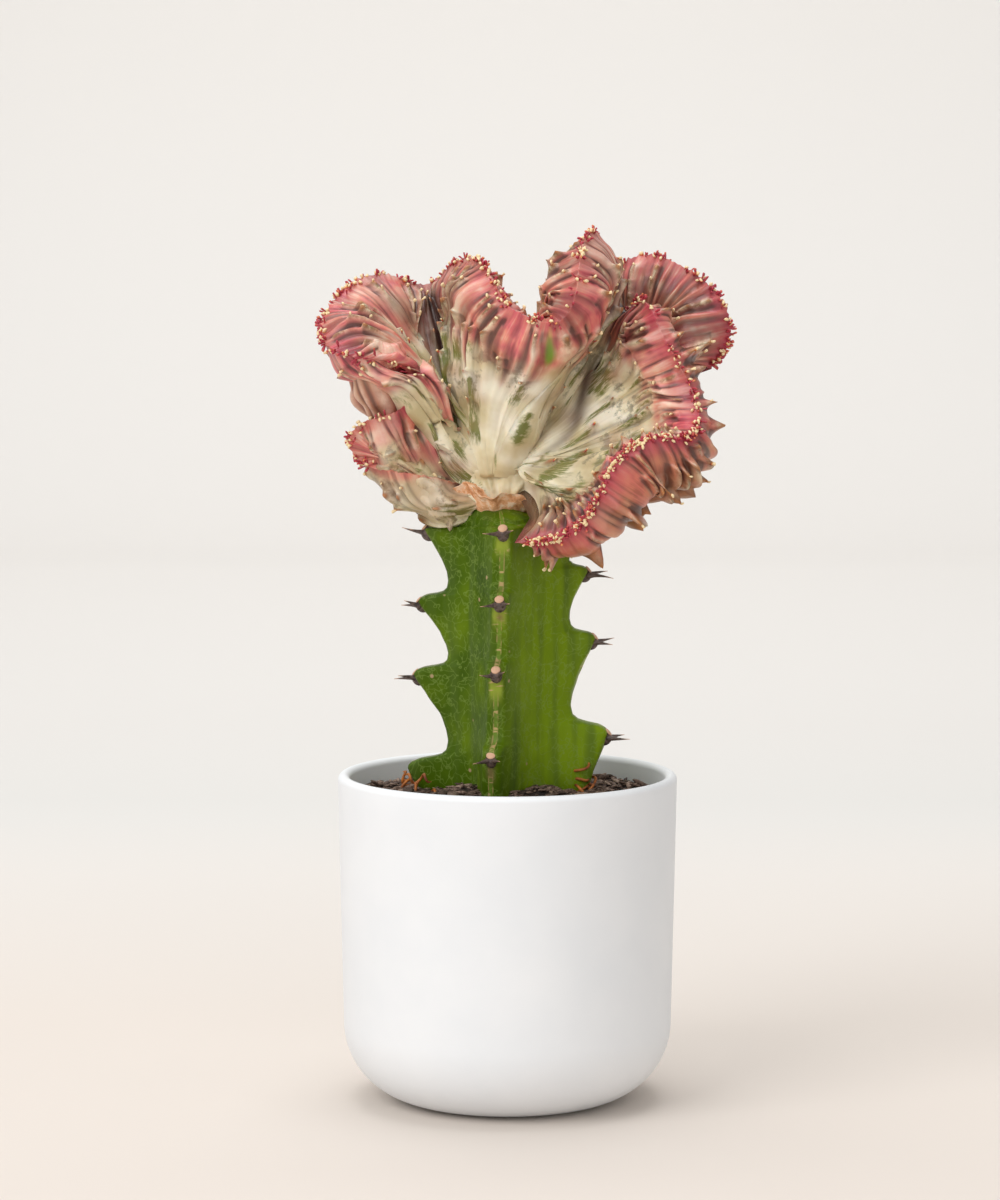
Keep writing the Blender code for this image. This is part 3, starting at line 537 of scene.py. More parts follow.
def rib_relief(phase, depth, spacing, ribs, vigour, seed):
    """Relief of one side of a fold in millimetres, what its colours follow, and its teeth.

    A ridge stands where the rib count is whole. Towards the hub the ribs draw together, and only every
    second, fourth and eighth one still stands out, so that ridges keep 3 to 12 mm apart. A tooth is a fin
    on its ridge, which drops off quickly on the rim's side and gets lower and wider towards the hub.
    """
    draw = np.random.default_rng(seed)
    wander, curl = draw.uniform(0, 6.28, 2)
    drift = 0.25 * np.sin(0.83 * phase + wander) + 0.15 * np.sin(1.9 * phase + curl)
    count = (phase + drift)[:, None] + weave(phase[:, None], depth)
    lobed = limit(0.45 + 0.9 * np.sin(0.23 * phase + 2 * wander))[:, None]
    relief, ridge, point, patch, fins = np.zeros((5, *depth.shape))
    total = np.full(depth.shape, 0.25)
    for every in (0.5, 1, 2, 4, 8):
        apart = every * spacing / np.sqrt(vigour)
        weight = limit((apart - RIDGES_APART[0]) / 2) * limit((RIDGES_APART[1] - apart) / 6)
        nearest = np.rint(count / every)
        which = np.clip(nearest, 0, None).astype(int)
        drawn = draw.uniform((0.2, 5, 0), (1.3, 10, 6.28), (int(ribs / every) + 4, 3))
        strong, wave, late = drawn[which].transpose(2, 0, 1)
        strong = strong * (0.7 + 0.4 * np.sin(depth / wave + late))
        line = 1 - np.abs(count / every - nearest) * 2
        line = (1 - lobed) * (0.35 * line**1.5 + 0.65 * line**4) + lobed * (1 - (1 - line) ** 2.4)
        relief += weight * line * strong * 0.3 * np.minimum(apart, 9)
        ridge += weight * line * strong
        total += weight
    relief *= limit(depth / 5 + 0.25) * vigour * (1 - 0.45 * limit((depth - INNER_DEPTH) / 20))
    ridge = limit(ridge / total * 1.3)
    teeth = []
    for far, every, chance, tall in TOOTH_ROWS:
        last = int(ribs / every)
        place = far * draw.uniform(0.72, 1.3, last + 1)
        size = draw.uniform(0.6, 1.25, last + 1) * (draw.random(last + 1) < chance)
        size[[0, -1]] = 0
        long = draw.uniform(6, 13, last + 1)
        green = draw.uniform(0.5, 1.0, last + 1) * (draw.random(last + 1) < 0.8)
        green = green * (size > 0) * (far > GREEN_FROM)
        near = np.clip(np.rint(count / every), 0, last).astype(int)
        past = depth - place[near]
        off = (count - near * every) * spacing
        drop = past / 1.3 + 1
        fade = limit(1 - np.maximum(past, 0) / long[near]) ** 1.5
        fin = size[near] * ease(drop) * fade
        narrow = 0.55 + 0.09 * np.clip(past, 0, 14)
        fins = np.maximum(fins, fin * bell(off / narrow))
        fin = fin * np.exp(-((np.abs(off) / (1.5 * narrow)) ** 1.4) / vigour)
        relief += fin * tall * vigour
        # A shallow groove runs down both sides of a tooth
        moat = bell((np.abs(off) - 2.6) / 1.6) * (size[near] > 0)
        relief -= 0.5 * moat * fade * limit(drop) * vigour
        point = np.maximum(point, fin * bell(past / 1.8))
        streak = bell((off - 0.9) / (0.8 + 0.1 * np.clip(past, 0, 10)))
        streak *= limit((past - 0.5) / 2) * limit((15 - past) / 6)
        patch = np.maximum(patch, green[near] * streak)
        bearing = np.nonzero(size)[0]
        teeth.append(np.stack([bearing * every, place[bearing], np.full(len(bearing), far)], axis=1))
    # Painted shade: how far each point lies below the mean of its neighbours along the rim, to darken the
    # valleys
    around = sum(np.roll(relief, shift, axis=0) for shift in range(-4, 5)) / 9
    hollow = limit((around - relief) / 0.55)
    return relief, ridge, hollow, point, patch, fins, count, (np.concatenate(teeth), drift)


def tooth_tips(phase, depth, skin, way, told):
    """Places and directions of the tips of one side's teeth, read off the finished skin, and their rows."""
    teeth, drift = told
    wanted = np.interp(teeth[:, 0] - weave(teeth[:, 0], teeth[:, 1]), phase + drift, phase)
    column = np.clip(np.rint(wanted * COLUMNS_PER_RIB).astype(int), 0, len(phase) - 1)
    line = np.abs(depth[column] - teeth[:, 1:2]).argmin(axis=1)
    inside = depth[column].max(axis=1) > teeth[:, 1] + 6
    column, line = column[inside], line[inside]
    return skin[column, line], way[column, line], teeth[inside]


def crest_fold(rim, roots, tables, seed, settings):
    """A fold of the crest as a grid of (columns, front rows and back rows), its marks and its teeth."""
    _, length = even_rim(rim, 2)
    ribs = int(round(length * MM / settings.rib_spacing))
    columns = ribs * COLUMNS_PER_RIB + 1
    rows = 1 - (1 - np.linspace(0, 1, ROWS)) ** RIM_CROWDING
    sheet, outward, rimward, half, depth = fold(rim, roots, columns, rows)
    phase = np.linspace(0, ribs, columns)
    share = phase / ribs
    spacing = np.linalg.norm(np.gradient(sheet, axis=0), axis=2) * COLUMNS_PER_RIB
    draw = np.random.default_rng(seed + 9)
    # Small knobs crown the rim, two to each rib
    crown = draw.uniform(0.2, 1.3, ribs * 2 + 2)[np.rint(phase * 2).astype(int)]
    crown = crown * (1 - np.abs(2 * phase - np.rint(2 * phase)) * 2)
    thin = limit(half / 3.5)
    sides, tips = [], []
    for number, side in enumerate((1, -1)):
        blush, grey, tan, vigour = (table(keys, share)[:, None] for keys in tables[number])
        told = rib_relief(phase, depth, spacing, ribs, vigour, seed + number)
        relief, ridge, hollow, point, patch, fins, count, teeth = told
        lift = half + relief * thin * settings.rib_height
        skin = sheet + outward * side * lift[..., None]
        skin = skin + rimward * (point * thin * vigour * 1.5)[..., None]
        skin = skin + rimward * (crown[:, None] * limit(1 - depth / 2.5))[..., None]
        ray = rays(skin, RIDGE_RAYS)
        inner = limit((depth - INNER_DEPTH) / 25)
        swell = ripple(skin, 15.0, seed + 5) * 0.7 + ray * inner * 0.6
        skin = skin + outward * side * (swell * thin)[..., None]
        ridge = ridge * (1 - 0.6 * inner) + (0.5 + 0.5 * np.clip(ray, -1, 1)) * 0.6 * inner
        streak = limit(rays(skin, GREEN_RAYS) * 1.8 - 0.8) * inner
        # The pink reaches in by its own width between any two ribs, and farther in the valleys
        own = np.interp(count, np.arange(ribs + 1) + 0.5, draw.uniform(0.55, 1.35, ribs + 1))
        wavy = np.minimum(blush / 3, 3.5) * ripple(sheet, 11.0, seed + 6)
        width = blush * own * (1.15 - 0.7 * ridge) + wavy
        pink = 1 / (1 + np.exp(np.clip((depth - width) / np.clip(blush / 5, 0.6, 3), -30, 30)))
        fresh = ((share[:, None] - FRESH_SPOT[0]) * length / 1.1) ** 2 + ((depth - FRESH_SPOT[1]) / 7.0) ** 2
        # Painted shade down the crevices where the folds meet, only on the main fold
        deep = 0
        for at, shift, wide, strong in CREVICE_SHADES:
            deep = deep + strong * bell((share[:, None] - at - shift * depth) / wide)
        deep = deep * limit((depth - 3) / 6) * limit((CREVICE_SHADE_END - depth) / 30) * (length > MAIN_LENGTH)
        marks = {
            "depth": depth / 100,
            "ridge": ridge,
            "hollow": np.maximum(hollow, deep),
            "blush": pink,
            "grey": limit(grey + 0.3 * ripple(sheet, 16.0, seed + 7)),
            "tan": limit(tan + 0.2 * ripple(sheet, 12.0, seed + 8)),
            "fleck": np.maximum(patch, 0.8 * streak) * (1 - 0.8 * pink),
            "tip": limit(point),
            "fin": limit(fins),
            "rim": table(RIM_CRIMSON, share)[:, None] * limit(1.1 - depth / 5.5),
            "fresh": bell(fresh) * (side > 0) * (length > MAIN_LENGTH),
            "along": np.broadcast_to((share * length / 100 + number * 7)[:, None], depth.shape),
        }
        sides.append((skin, marks))
        tips.append(tooth_tips(phase, depth, skin, unit(outward * side * 0.8 + rimward * 0.8), teeth))
    (front, front_marks), (back, back_marks) = sides
    back[:, -1] = front[:, -1]
    skin = np.concatenate([front, back[:, -2::-1]], axis=1)
    marks = {}
    for name, values in front_marks.items():
        marks[name] = np.concatenate([values, back_marks[name][:, -2::-1]], axis=1)
    edge = (front[:, -1], rimward[:, -2], outward[:, -2], unit(np.gradient(front[:, -1], axis=0)))
    return trimmed(skin), marks, tips, edge


def trimmed(skin):
    """Lifts what lies low over the graft to just above the cork, so that the crest has a flat foot there."""
    wide, deep = np.array(GRAFT_HALF) * 1.2
    over = ((skin[..., 0] - GRAFT_X) / wide) ** 2 + (skin[..., 1] / deep) ** 2 < 1
    low = over & (skin[..., 2] < CALLUS_TOP)
    skin[..., 2] = np.where(low, CALLUS_TOP, skin[..., 2])
    return skin


def crest_piece(name, skin, marks, finish):
    """One piece of the crest, whose UV coordinates are the marks along and depth."""
    marks = dict(marks)
    places = [marks.pop("along"), marks.pop("depth")]
    make_piece(name, skin, finish, "crest_skin", ("crest",), places, **marks)


def lump(name, seed, finish):
    """A fluted, uneven egg of the crest's flesh: an ellipsoid that leans, tapers downwards and ripples."""
    centre, half, lean, taper, flutes, fluted, pink, grey, tan = SWELLINGS[name]
    turn = full_turn(140)
    lift = np.radians(np.linspace(-84, 84, 70))[:, None]
    way = around_z(np.cos(lift), turn, np.sin(lift))
    wave = np.cos(flutes * turn + 1.2 * np.sin(3 * turn + 1) + 0.8 * lift) * np.cos(lift)
    swell = 1 + 0.07 * ripple(way * 20, 12.0, seed) + fluted * wave
    skin = way * half * swell[..., None]
    low = limit(-way[..., 2:])
    skin[..., :2] = skin[..., :2] * (1 - taper * low**1.6) - way[..., 2:] * np.array(lean)
    skin = skin + centre
    skin = skin + way * rays(skin, RIDGE_RAYS)[..., None] * 0.9
    marks = {
        "depth": 0.8 - 0.65 * pink,
        "ridge": 0.5 + 0.5 * wave,
        # Painted shade in the valleys between the flutes
        "hollow": 15 * fluted * pink * limit(-wave - 0.2),
        "blush": pink,
        "grey": grey,
        "tan": tan,
        "fleck": 0.6 * limit(rays(skin, GREEN_RAYS) * 1.8 - 1.0),
        "along": turn / 6,
        **dict.fromkeys(("tip", "fin", "rim", "fresh"), 0.0),
    }
    marks = {mark: np.broadcast_to(values, skin.shape[:2]) for mark, values in marks.items()}
    crest_piece(name, trimmed(skin), marks, finish)


def leaf_tubes(roots, ways, lengths, stout, draw):
    """Tiny tongue-shaped leaves: rings that widen, round off and bend, carried along each leaf's way."""
    count = len(roots)
    along = np.array((0.0, 0.3, 0.65, 0.92, 1.0))
    wide = np.array((0.55, 0.75, 1.0, 1.0, 0.55)) * 0.5
    turn = full_turn(5)[:, None]
    across = unit(np.cross(ways, draw.normal(size=(count, 3))))
    up = np.cross(ways, across)
    bend = draw.uniform(-0.35, 0.35, (count, 1, 1))
    spine = roots[:, None] + ways[:, None] * (along[None, :, None] * (lengths[:, None, None] + 0.8) - 0.8)
    spine = spine + across[:, None] * bend * (along**2)[None, :, None] * lengths[:, None, None]
    ring = swung(across[:, None, None], 0.6 * up[:, None, None], turn)
    rings = spine[:, :, None] + ring * wide[:, None, None] * stout[:, None, None, None]
    return rings, np.broadcast_to(along[:, None], rings.shape[:3])


def ceramic_material(settings):
    """Stoneware pot, slip cast, with a matte white glaze: no mirror gloss, only a soft broad sheen."""
    finish, node = new_material("matte white glazed stoneware")
    place = node("TexCoord", out=3)
    cloud = node("TexNoise", Vector=place, Scale=28.0, Detail=3.0)
    tint = node("ValToRGB", stops=((0.35, settings.glaze), (0.75, "#f1f3f5")), Fac=cloud)
    # Glaze grain about 0.8 mm across
    grain = node("TexNoise", Vector=place, Scale=1250.0, Detail=2.0)
    bump = node("Bump", Strength=0.12, Distance=0.0002, Height=grain)
    rough = node("MapRange", Value=cloud, To_Min=0.5, To_Max=0.62)
    node("OutputMaterial", Surface=node("BsdfPrincipled", Base_Color=tint, Roughness=rough, Normal=bump))
    return finish


def soil_material(settings):
    """Composted bark and peat: dull dark brown, some chips paler and drier than others."""
    finish, node = new_material("composted bark and peat")
    shade = node("Attribute", out=2, attribute_name="shade")
    # Wood fibre about 0.7 mm apart
    fibre = node("TexNoise", Vector=node("TexCoord", out=3), Scale=1400.0, Detail=3.0)
    mixed = node("Math", {0: shade, 1: fibre}, operation="MULTIPLY")
    tint = node("ValToRGB", stops=((0.05, settings.peat), (0.75, "#a08878"), (0.35, "#5b463a")), Fac=mixed)
    bump = node("Bump", Strength=0.6, Distance=0.0005, Height=fibre)
    node("OutputMaterial", Surface=node("BsdfPrincipled", Base_Color=tint, Roughness=0.82, Normal=bump))
    return finish


def stem_material(settings):
    """Waxy green stem skin: paler fibres under the skin, grey-green weathering, corky wing edges and painted
    light on the side towards +X.
    """
    finish, node = new_material("waxy green stem skin")
    place = node("TexCoord", out=3)
    edge, cork, under = (node("Attribute", out=2, attribute_name=name) for name in ("edge", "cork", "under"))
    cloud = node("TexNoise", Vector=place, Scale=42.0, Detail=3.0)
    skin = node("ValToRGB", stops=((0.3, "#3c5204"), (0.72, "#7d970e"), (0.5, settings.green)), Fac=cloud)
    # Painted light: the side towards +X is lighter and yellower
    around = node("SeparateXYZ", Vector=place)
    painted_light_side = node("MapRange", Value=around, From_Min=-0.004, From_Max=0.006, To_Max=0.5)
    # Upright grey-green bands, drawn out along the stem
    stretched = node("Mapping", Vector=place, Scale=(150.0, 150.0, 9.0))
    bands = node("TexNoise", Vector=stretched, Scale=1.0, Detail=2.0)
    band = node("MapRange", Value=bands, From_Min=0.48, From_Max=0.66, To_Max=0.75)
    # Fine pale crackle, some 6 mm across
    warp = node("TexNoise", out=1, Vector=place, Scale=160.0, Detail=2.0)
    bent = node("Mix", {0: 0.02, 4: place, 5: warp}, out=1, data_type="VECTOR")
    cells = node("TexVoronoi", feature="DISTANCE_TO_EDGE", Vector=bent, Scale=150.0)
    vein = node("MapRange", Value=cells, From_Max=0.06, To_Min=0.5, To_Max=0.0)
    # The blunt edge of each wing is a greyer strip between two thin broken tan lines
    strip = node("MapRange", Value=edge, From_Min=0.8, From_Max=0.9, To_Max=0.4)
    fine = node("TexNoise", Vector=place, Scale=420.0, Detail=3.0)
    line = node("Math", {0: edge, 1: 0.84, 2: 0.04}, operation="COMPARE")
    broken = node("MapRange", Value=fine, From_Min=0.42, From_Max=0.56, To_Max=0.7)
    tan = node("Math", {0: line, 1: broken}, operation="MULTIPLY")
    # Small dry scars
    spots = node("TexVoronoi", Vector=place, Scale=95.0)
    scar = node("MapRange", Value=spots, From_Min=0.05, From_Max=0.09, To_Min=0.8, To_Max=0.0)
    # Dry cracks cross the edge, most of all under each tooth, where it is yellow-green
    flat = node("Mapping", Vector=place, Scale=(120.0, 120.0, 700.0))
    cracks = node("TexNoise", Vector=flat, Scale=1.0, Detail=2.0)
    crack = node("MapRange", Value=cracks, From_Min=0.6, From_Max=0.64)
    dry = node("Math", {0: strip, 1: 1.8, 2: under}, operation="MULTIPLY_ADD", use_clamp=True)
    crack = node("Math", {0: crack, 1: dry}, operation="MULTIPLY")
    layers = (
        (0.5, "#2f4a04"), (painted_light_side, "#8aa612"), (band, "#4c6222"), (vein, "#7d9446"), (strip, "#7f9a3c"),
        (tan, "#a3905a"), (scar, "#b99a78"), (under, "#93a33a"), (crack, "#c9a878"), (cork, "#7a5a44"),
    )
    for cover, colour in layers:
        skin = node("Mix", {0: cover, 6: skin, 7: colour}, out=2, data_type="RGBA")
    rough = node("MapRange", Value=cloud, To_Min=0.36, To_Max=0.52)
    bump = node("Bump", Strength=0.25, Distance=0.0004, Height=bands)
    wax = node("BsdfPrincipled", Base_Color=skin, Roughness=rough, Normal=bump, Specular_IOR_Level=0.1)
    node("OutputMaterial", Surface=wax)
    return finish


def horn_material():
    """Spine horn: dark grey-brown and slightly polished, tan where the tip is dry and where a leaf fell."""
    finish, node = new_material("dry spine horn")
    pale = node("Attribute", out=2, attribute_name="pale")
    grain = node("TexNoise", Vector=node("TexCoord", out=3), Scale=700.0, Detail=2.0)
    dark = node("ValToRGB", stops=((0.3, "#332825"), (0.7, "#6d5a52")), Fac=grain)
    tint = node("Mix", {0: pale, 6: dark, 7: "#cfa484"}, out=2, data_type="RGBA")
    node("OutputMaterial", Surface=node("BsdfPrincipled", Base_Color=tint, Roughness=0.48))
    return finish


def cork_material(settings):
    """Graft cork: dry, papery wound tissue, tan with rusty folds and a fine crinkle."""
    finish, node = new_material("dry graft cork")
    crinkle = node("TexNoise", Vector=node("TexCoord", out=3), Scale=330.0, Detail=5.0, Roughness=0.65)
    tint = node("ValToRGB", stops=((0.3, "#bb7648"), (0.6, "#fbdabe"), (0.5, settings.cork)), Fac=crinkle)
    bump = node("Bump", Strength=0.8, Distance=0.0008, Height=crinkle)
    node("OutputMaterial", Surface=node("BsdfPrincipled", Base_Color=tint, Roughness=0.85, Normal=bump))
    return finish


def fibre_material():
    """Dried root and petiole fibre: rusty orange, thin and a little glossy."""
    finish, node = new_material("dried rusty fibre")
    cloud = node("TexNoise", Vector=node("TexCoord", out=3), Scale=260.0)
    tint = node("ValToRGB", stops=((0.3, "#6b3312"), (0.7, "#c9782f")), Fac=cloud)
    node("OutputMaterial", Surface=node("BsdfPrincipled", Base_Color=tint, Roughness=0.6))
    return finish


def crest_material(settings):
    """Waxy skin of a crested stem that lacks most of its green: cream flesh, a blush of rose that fades away
    from the rim, pale ridges with a painted highlight, painted shade in the valleys and crevices, and brown
    tooth tips. A little light scatters under the skin."""
    finish, node = new_material("waxy cream and rose crest skin")
    place = node("TexCoord", out=3)
    own = node("TexCoord", out=2)
    marks = {}
    for name in ("ridge", "hollow", "blush", "grey", "tan", "fleck", "tip", "fin", "fresh", "rim"):
        marks[name] = node("Attribute", out=2, attribute_name=name)
    cloud = node("TexNoise", Vector=place, Scale=70.0, Detail=3.0)
    # Streaks along the ribs: about 1.5 mm wide and 12 mm long
    drawn = node("Mapping", Vector=own, Scale=(62.0, 8.0, 1.0))
    streak = node("TexNoise", Vector=drawn, Scale=1.0, Detail=3.0, Roughness=0.55)
    cream = node("ValToRGB", stops=((0.3, "#c6b588"), (0.66, "#f3ebd5"), (0.48, settings.cream)), Fac=cloud)
    # Grey-green mottles, some 3 mm across, in the cream
    mottle = node("TexNoise", Vector=place, Scale=230.0, Detail=4.0, Roughness=0.65)
    clouds = node("TexNoise", Vector=place, Scale=38.0, Detail=1.0)
    both = node("Math", {0: mottle, 1: clouds}, operation="MULTIPLY")
    more = node("Math", {0: marks["grey"], 1: 0.12, 2: both}, operation="MULTIPLY_ADD")
    spread = node("MapRange", Value=more, From_Min=0.32, From_Max=0.38, To_Max=0.75)
    # Green streaks inside the flecks, about 1 mm apart
    drawn = node("Mapping", Vector=own, Scale=(95.0, 16.0, 1.0))
    vein = node("TexNoise", Vector=drawn, Scale=1.0, Detail=4.0, Roughness=0.7)
    veined = node("MapRange", Value=vein, From_Min=0.4, From_Max=0.6, To_Min=0.25)
    torn = node("Math", {0: marks["fleck"], 1: veined}, operation="MULTIPLY")
    fleck = node("MapRange", Value=torn, From_Min=0.12, From_Max=0.42, To_Max=0.9)
    # Between ridges the cream is greener, and darker with painted shade
    valley_green_and_shade = node("MapRange", Value=marks["ridge"], From_Max=0.35, To_Min=0.35, To_Max=0.0)
    # Rose and salmon patches, some 9 mm across, under the streaks
    patches = node("TexNoise", Vector=place, Scale=110.0, Detail=2.0)
    half = node("Math", {0: patches, 1: 0.55}, operation="MULTIPLY")
    patchy = node("Math", {0: streak, 1: 0.45, 2: half}, operation="MULTIPLY_ADD")
    reds = ((0.34, "#9a3343"), (0.64, "#f5d3bd"), (0.45, settings.rose), (0.54, "#e98f7c"))
    rose = node("ValToRGB", stops=reds, Fac=patchy)
    dusk = node("Math", {0: marks["grey"], 1: 0.8}, operation="MULTIPLY")
    # Wine-brown in the valleys: partly real stains, partly painted shade
    low = node("MapRange", Value=marks["ridge"], From_Max=0.36, To_Min=1.0, To_Max=0.0)
    stain = node("MapRange", Value=clouds, From_Min=0.38, From_Max=0.6, To_Max=0.82)
    wine_stain_and_shade = node("Math", {0: low, 1: stain}, operation="MULTIPLY")
    # Pale sharp ridges, partly their own colour and partly a painted highlight, and tan where the sun baked
    # them
    sharp = node("MapRange", Value=marks["ridge"], From_Min=0.4, To_Max=1.05)
    pale = node("Math", {0: sharp, 1: mottle}, operation="MULTIPLY")
    baked = node("Math", {0: marks["tan"], 1: patches}, operation="MULTIPLY")
    # The fins behind the teeth are cream and olive
    bone = node("ValToRGB", stops=((0.42, "#7d6f48"), (0.58, "#e9dab8")), Fac=mottle)
    lean = node("Math", {0: marks["fin"], 1: 1.3}, operation="MULTIPLY", use_clamp=True)
    # The cream and the pink each take their own layers, and then the whole skin takes the last ones
    skins = []
    for skin, layers in (
        (cream, ((spread, "#7d7b66"), (fleck, settings.green), (valley_green_and_shade, "#9a9068"), (marks["tan"], "#a3704f"))),
        (rose, ((dusk, "#95705a"), (wine_stain_and_shade, "#552a28"), (pale, "#f3d9c2"), (baked, "#d18d5c"))),
    ):
        for cover, colour in layers:
            skin = node("Mix", {0: cover, 6: skin, 7: colour}, out=2, data_type="RGBA")
        skins.append(skin)
    skin, pink = skins
    for cover, colour in ((marks["rim"], "#ac2c48"), (lean, bone)):
        pink = node("Mix", {0: cover, 6: pink, 7: colour}, out=2, data_type="RGBA")
    # Painted shade in the hollows and crevices: dark brown, stronger where the skin is pink
    shade_strength = node("MapRange", Value=marks["blush"], To_Min=0.45, To_Max=0.85)
    dark = node("Math", {0: marks["hollow"], 1: shade_strength}, operation="MULTIPLY")
    tooth = node("ValToRGB", stops=((0.3, "#6b4334"), (0.9, "#b97a48")), Fac=marks["tip"])
    worn = node("MapRange", Value=marks["tip"], From_Min=0.25, From_Max=0.7, To_Max=0.9)
    layers = ((marks["blush"], pink), (marks["fresh"], "#86b02f"), (dark, "#432a23"), (worn, tooth))
    for cover, colour in layers:
        skin = node("Mix", {0: cover, 6: skin, 7: colour}, out=2, data_type="RGBA")
    rough = node("MapRange", Value=cloud, To_Min=0.28, To_Max=0.46)
    bump = node("Bump", Strength=0.5, Distance=0.0005, Height=streak)
    flesh = {"Subsurface Weight": 0.1, "Subsurface Radius": (1.0, 0.5, 0.3), "Subsurface Scale": 0.0015}
    skin = {"Base Color": skin, "Roughness": rough, "Normal": bump, "Specular IOR Level": 0.5}
    node("OutputMaterial", Surface=node("BsdfPrincipled", {**skin, **flesh}))
    return finish


def leaf_material(settings):
    """The crest's tiny leaves: crimson, waxy, drying to gold and cream at their tips."""
    finish, node = new_material("crimson rim leaf")
    along, gold = (node("Attribute", out=2, attribute_name=name) for name in ("along", "gold"))
    ripe = node("Math", {0: along, 1: gold}, operation="ADD")
    reds = ((0.35, settings.leaf), (1.0, "#f4dcac"), (0.6, "#cc5c46"), (0.78, "#e29c58"))
    tint = node("ValToRGB", stops=reds, Fac=ripe)
    node("OutputMaterial", Surface=node("BsdfPrincipled", Base_Color=tint, Roughness=0.4))
    return finish


def stage_material(settings):
    """A seamless paper sweep: dead matte, with painted shade on the floor behind the pot."""
    finish, node = new_material("pale paper sweep")
    place = node("TexCoord", out=3)
    cloud = node("TexNoise", Vector=place, Scale=0.7)
    near = node("ValToRGB", stops=((0.3, settings.paper), (0.7, "#dfd5cc")), Fac=cloud)
    # Cooler from 0.2 m behind the pot, and painted shade on the floor that is deepest about 0.8 m behind it,
    # where the lights overlap
    behind = node("SeparateXYZ", out=1, Vector=place)
    far = node("MapRange", Value=behind, From_Min=0.15, From_Max=0.7)
    depth = node("MapRange", Value=behind, From_Min=0.15, From_Max=2.25)
    shades = ((0.17, "#dcd9d5"), (0.295, "#d7d5d1"), (0.45, "#dad7d3"), (0.67, "#e0ddd9"), (1.0, "#eae7e3"))
    cooler_and_shaded = node("ValToRGB", stops=shades, Fac=depth)
    tint = node("Mix", {0: far, 6: near, 7: cooler_and_shaded}, out=2, data_type="RGBA")
    node("OutputMaterial", Surface=node("BsdfPrincipled", Base_Color=tint, Roughness=0.95))
    return finish


def colour_setting(name, description, colour):
    """A colour that a user may change, from its sRGB hex default."""
    return bpy.props.FloatVectorProperty(
        name=name, description=description, subtype="COLOR", size=4, default=linear(colour)
    )


def size_setting(name, description, default):
    """A length that a user may change, in metres."""
    return bpy.props.FloatProperty(name=name, description=description, default=default, unit="LENGTH")


class EuphorbiaPotSettings(bpy.types.PropertyGroup):
    glaze: colour_setting("Glaze", "Colour of the matte glaze", "#ebeef1")
    sides: bpy.props.IntProperty(name="Sides", description="Faces round the pot", default=192, min=24)


class EuphorbiaSoilSettings(bpy.types.PropertyGroup):
    chips: bpy.props.IntProperty(name="Chips", description="Number of bark chips", default=3600, min=0)
    chip_length: size_setting("Chip length", "Length of a middling chip", 0.0034)
    peat: colour_setting("Peat", "Darkest soil colour", "#1c130e")


class EuphorbiaStemSettings(bpy.types.PropertyGroup):
    green: colour_setting("Green", "Main colour of the stem", "#567006")
    spine_length: size_setting("Spine length", "Length of a long spine", 0.0105)
    cork: colour_setting("Cork", "Colour of the graft cork", "#f0b688")


class EuphorbiaCrestSettings(bpy.types.PropertyGroup):
    rib_spacing: size_setting("Rib spacing", "Distance between main ribs at the rim", 0.0052)
    rib_height: bpy.props.FloatProperty(
        name="Rib height",
        description="Height of the ribs, as a factor",
        default=1.0,
        subtype="FACTOR",
        max=2.0,
    )
    leaf_length: size_setting("Leaf length", "Length of a middling rim leaf", 0.0023)
    cream: colour_setting("Cream", "Flesh away from the rim", "#dfd2ac")
    rose: colour_setting("Rose", "Blush behind the rim", "#dc696e")
    green: colour_setting("Green", "Flecks in the cream", "#67701f")
    leaf: colour_setting("Leaf", "Colour of the tiny leaves", "#b23a4a")


class EuphorbiaStageSettings(bpy.types.PropertyGroup):
    paper: colour_setting("Paper", "Colour of the sweep", "#dbd3cb")
    key_power: bpy.props.FloatProperty(
        name="Key light", description="Power of the big soft light", default=31.2, min=0.0
    )
    sky: bpy.props.FloatProperty(
        name="Fill", description="Strength of the light all round", default=0.5, min=0.0
    )


class EUPHORBIA_OT_pot(bpy.types.Operator):
    """Turns the white pot"""

    bl_idname = "euphorbia.pot"
    bl_label = "Pot"

    def execute(self, context):
        settings = context.scene.euphorbia_pot
        finish = ceramic_material(settings)
        make_piece("ceramic_pot", pot_rings(settings.sides), finish, "pot_ceramic", ("pot",))
        return {"FINISHED"}


def soil_bed(x, y):
    """Height of the soil at any place: a low mound, with lumps of a few millimetres."""
    share = np.hypot(x, y) / cavity_radius(SOIL_EDGE_HEIGHT)
    flat = np.stack([x, y, 0 * x], axis=-1)
    lumps = 1.1 * ripple(flat, 16.0, 41) + 0.5 * ripple(flat, 5.0, 42)
    return SOIL_EDGE_HEIGHT + SOIL_MOUND * (1 - share**2) + lumps


def outside_stem(x, y, clear):
    """Whether a place on the soil lies outside the rootstock by at least clear."""
    angles = np.linspace(0, 360, 721)
    rings, _ = stem_rings(np.array([4.0, 4.04, 4.1, 4.2]), angles)
    reach = np.hypot(rings[..., 0], rings[..., 1]).max(axis=0)
    way = np.arctan2(rings[0, :, 1], rings[0, :, 0])
    order = np.argsort(way)
    skin = np.interp(np.arctan2(y, x), way[order], reach[order], period=2 * np.pi)
    return np.hypot(x, y) > skin + clear


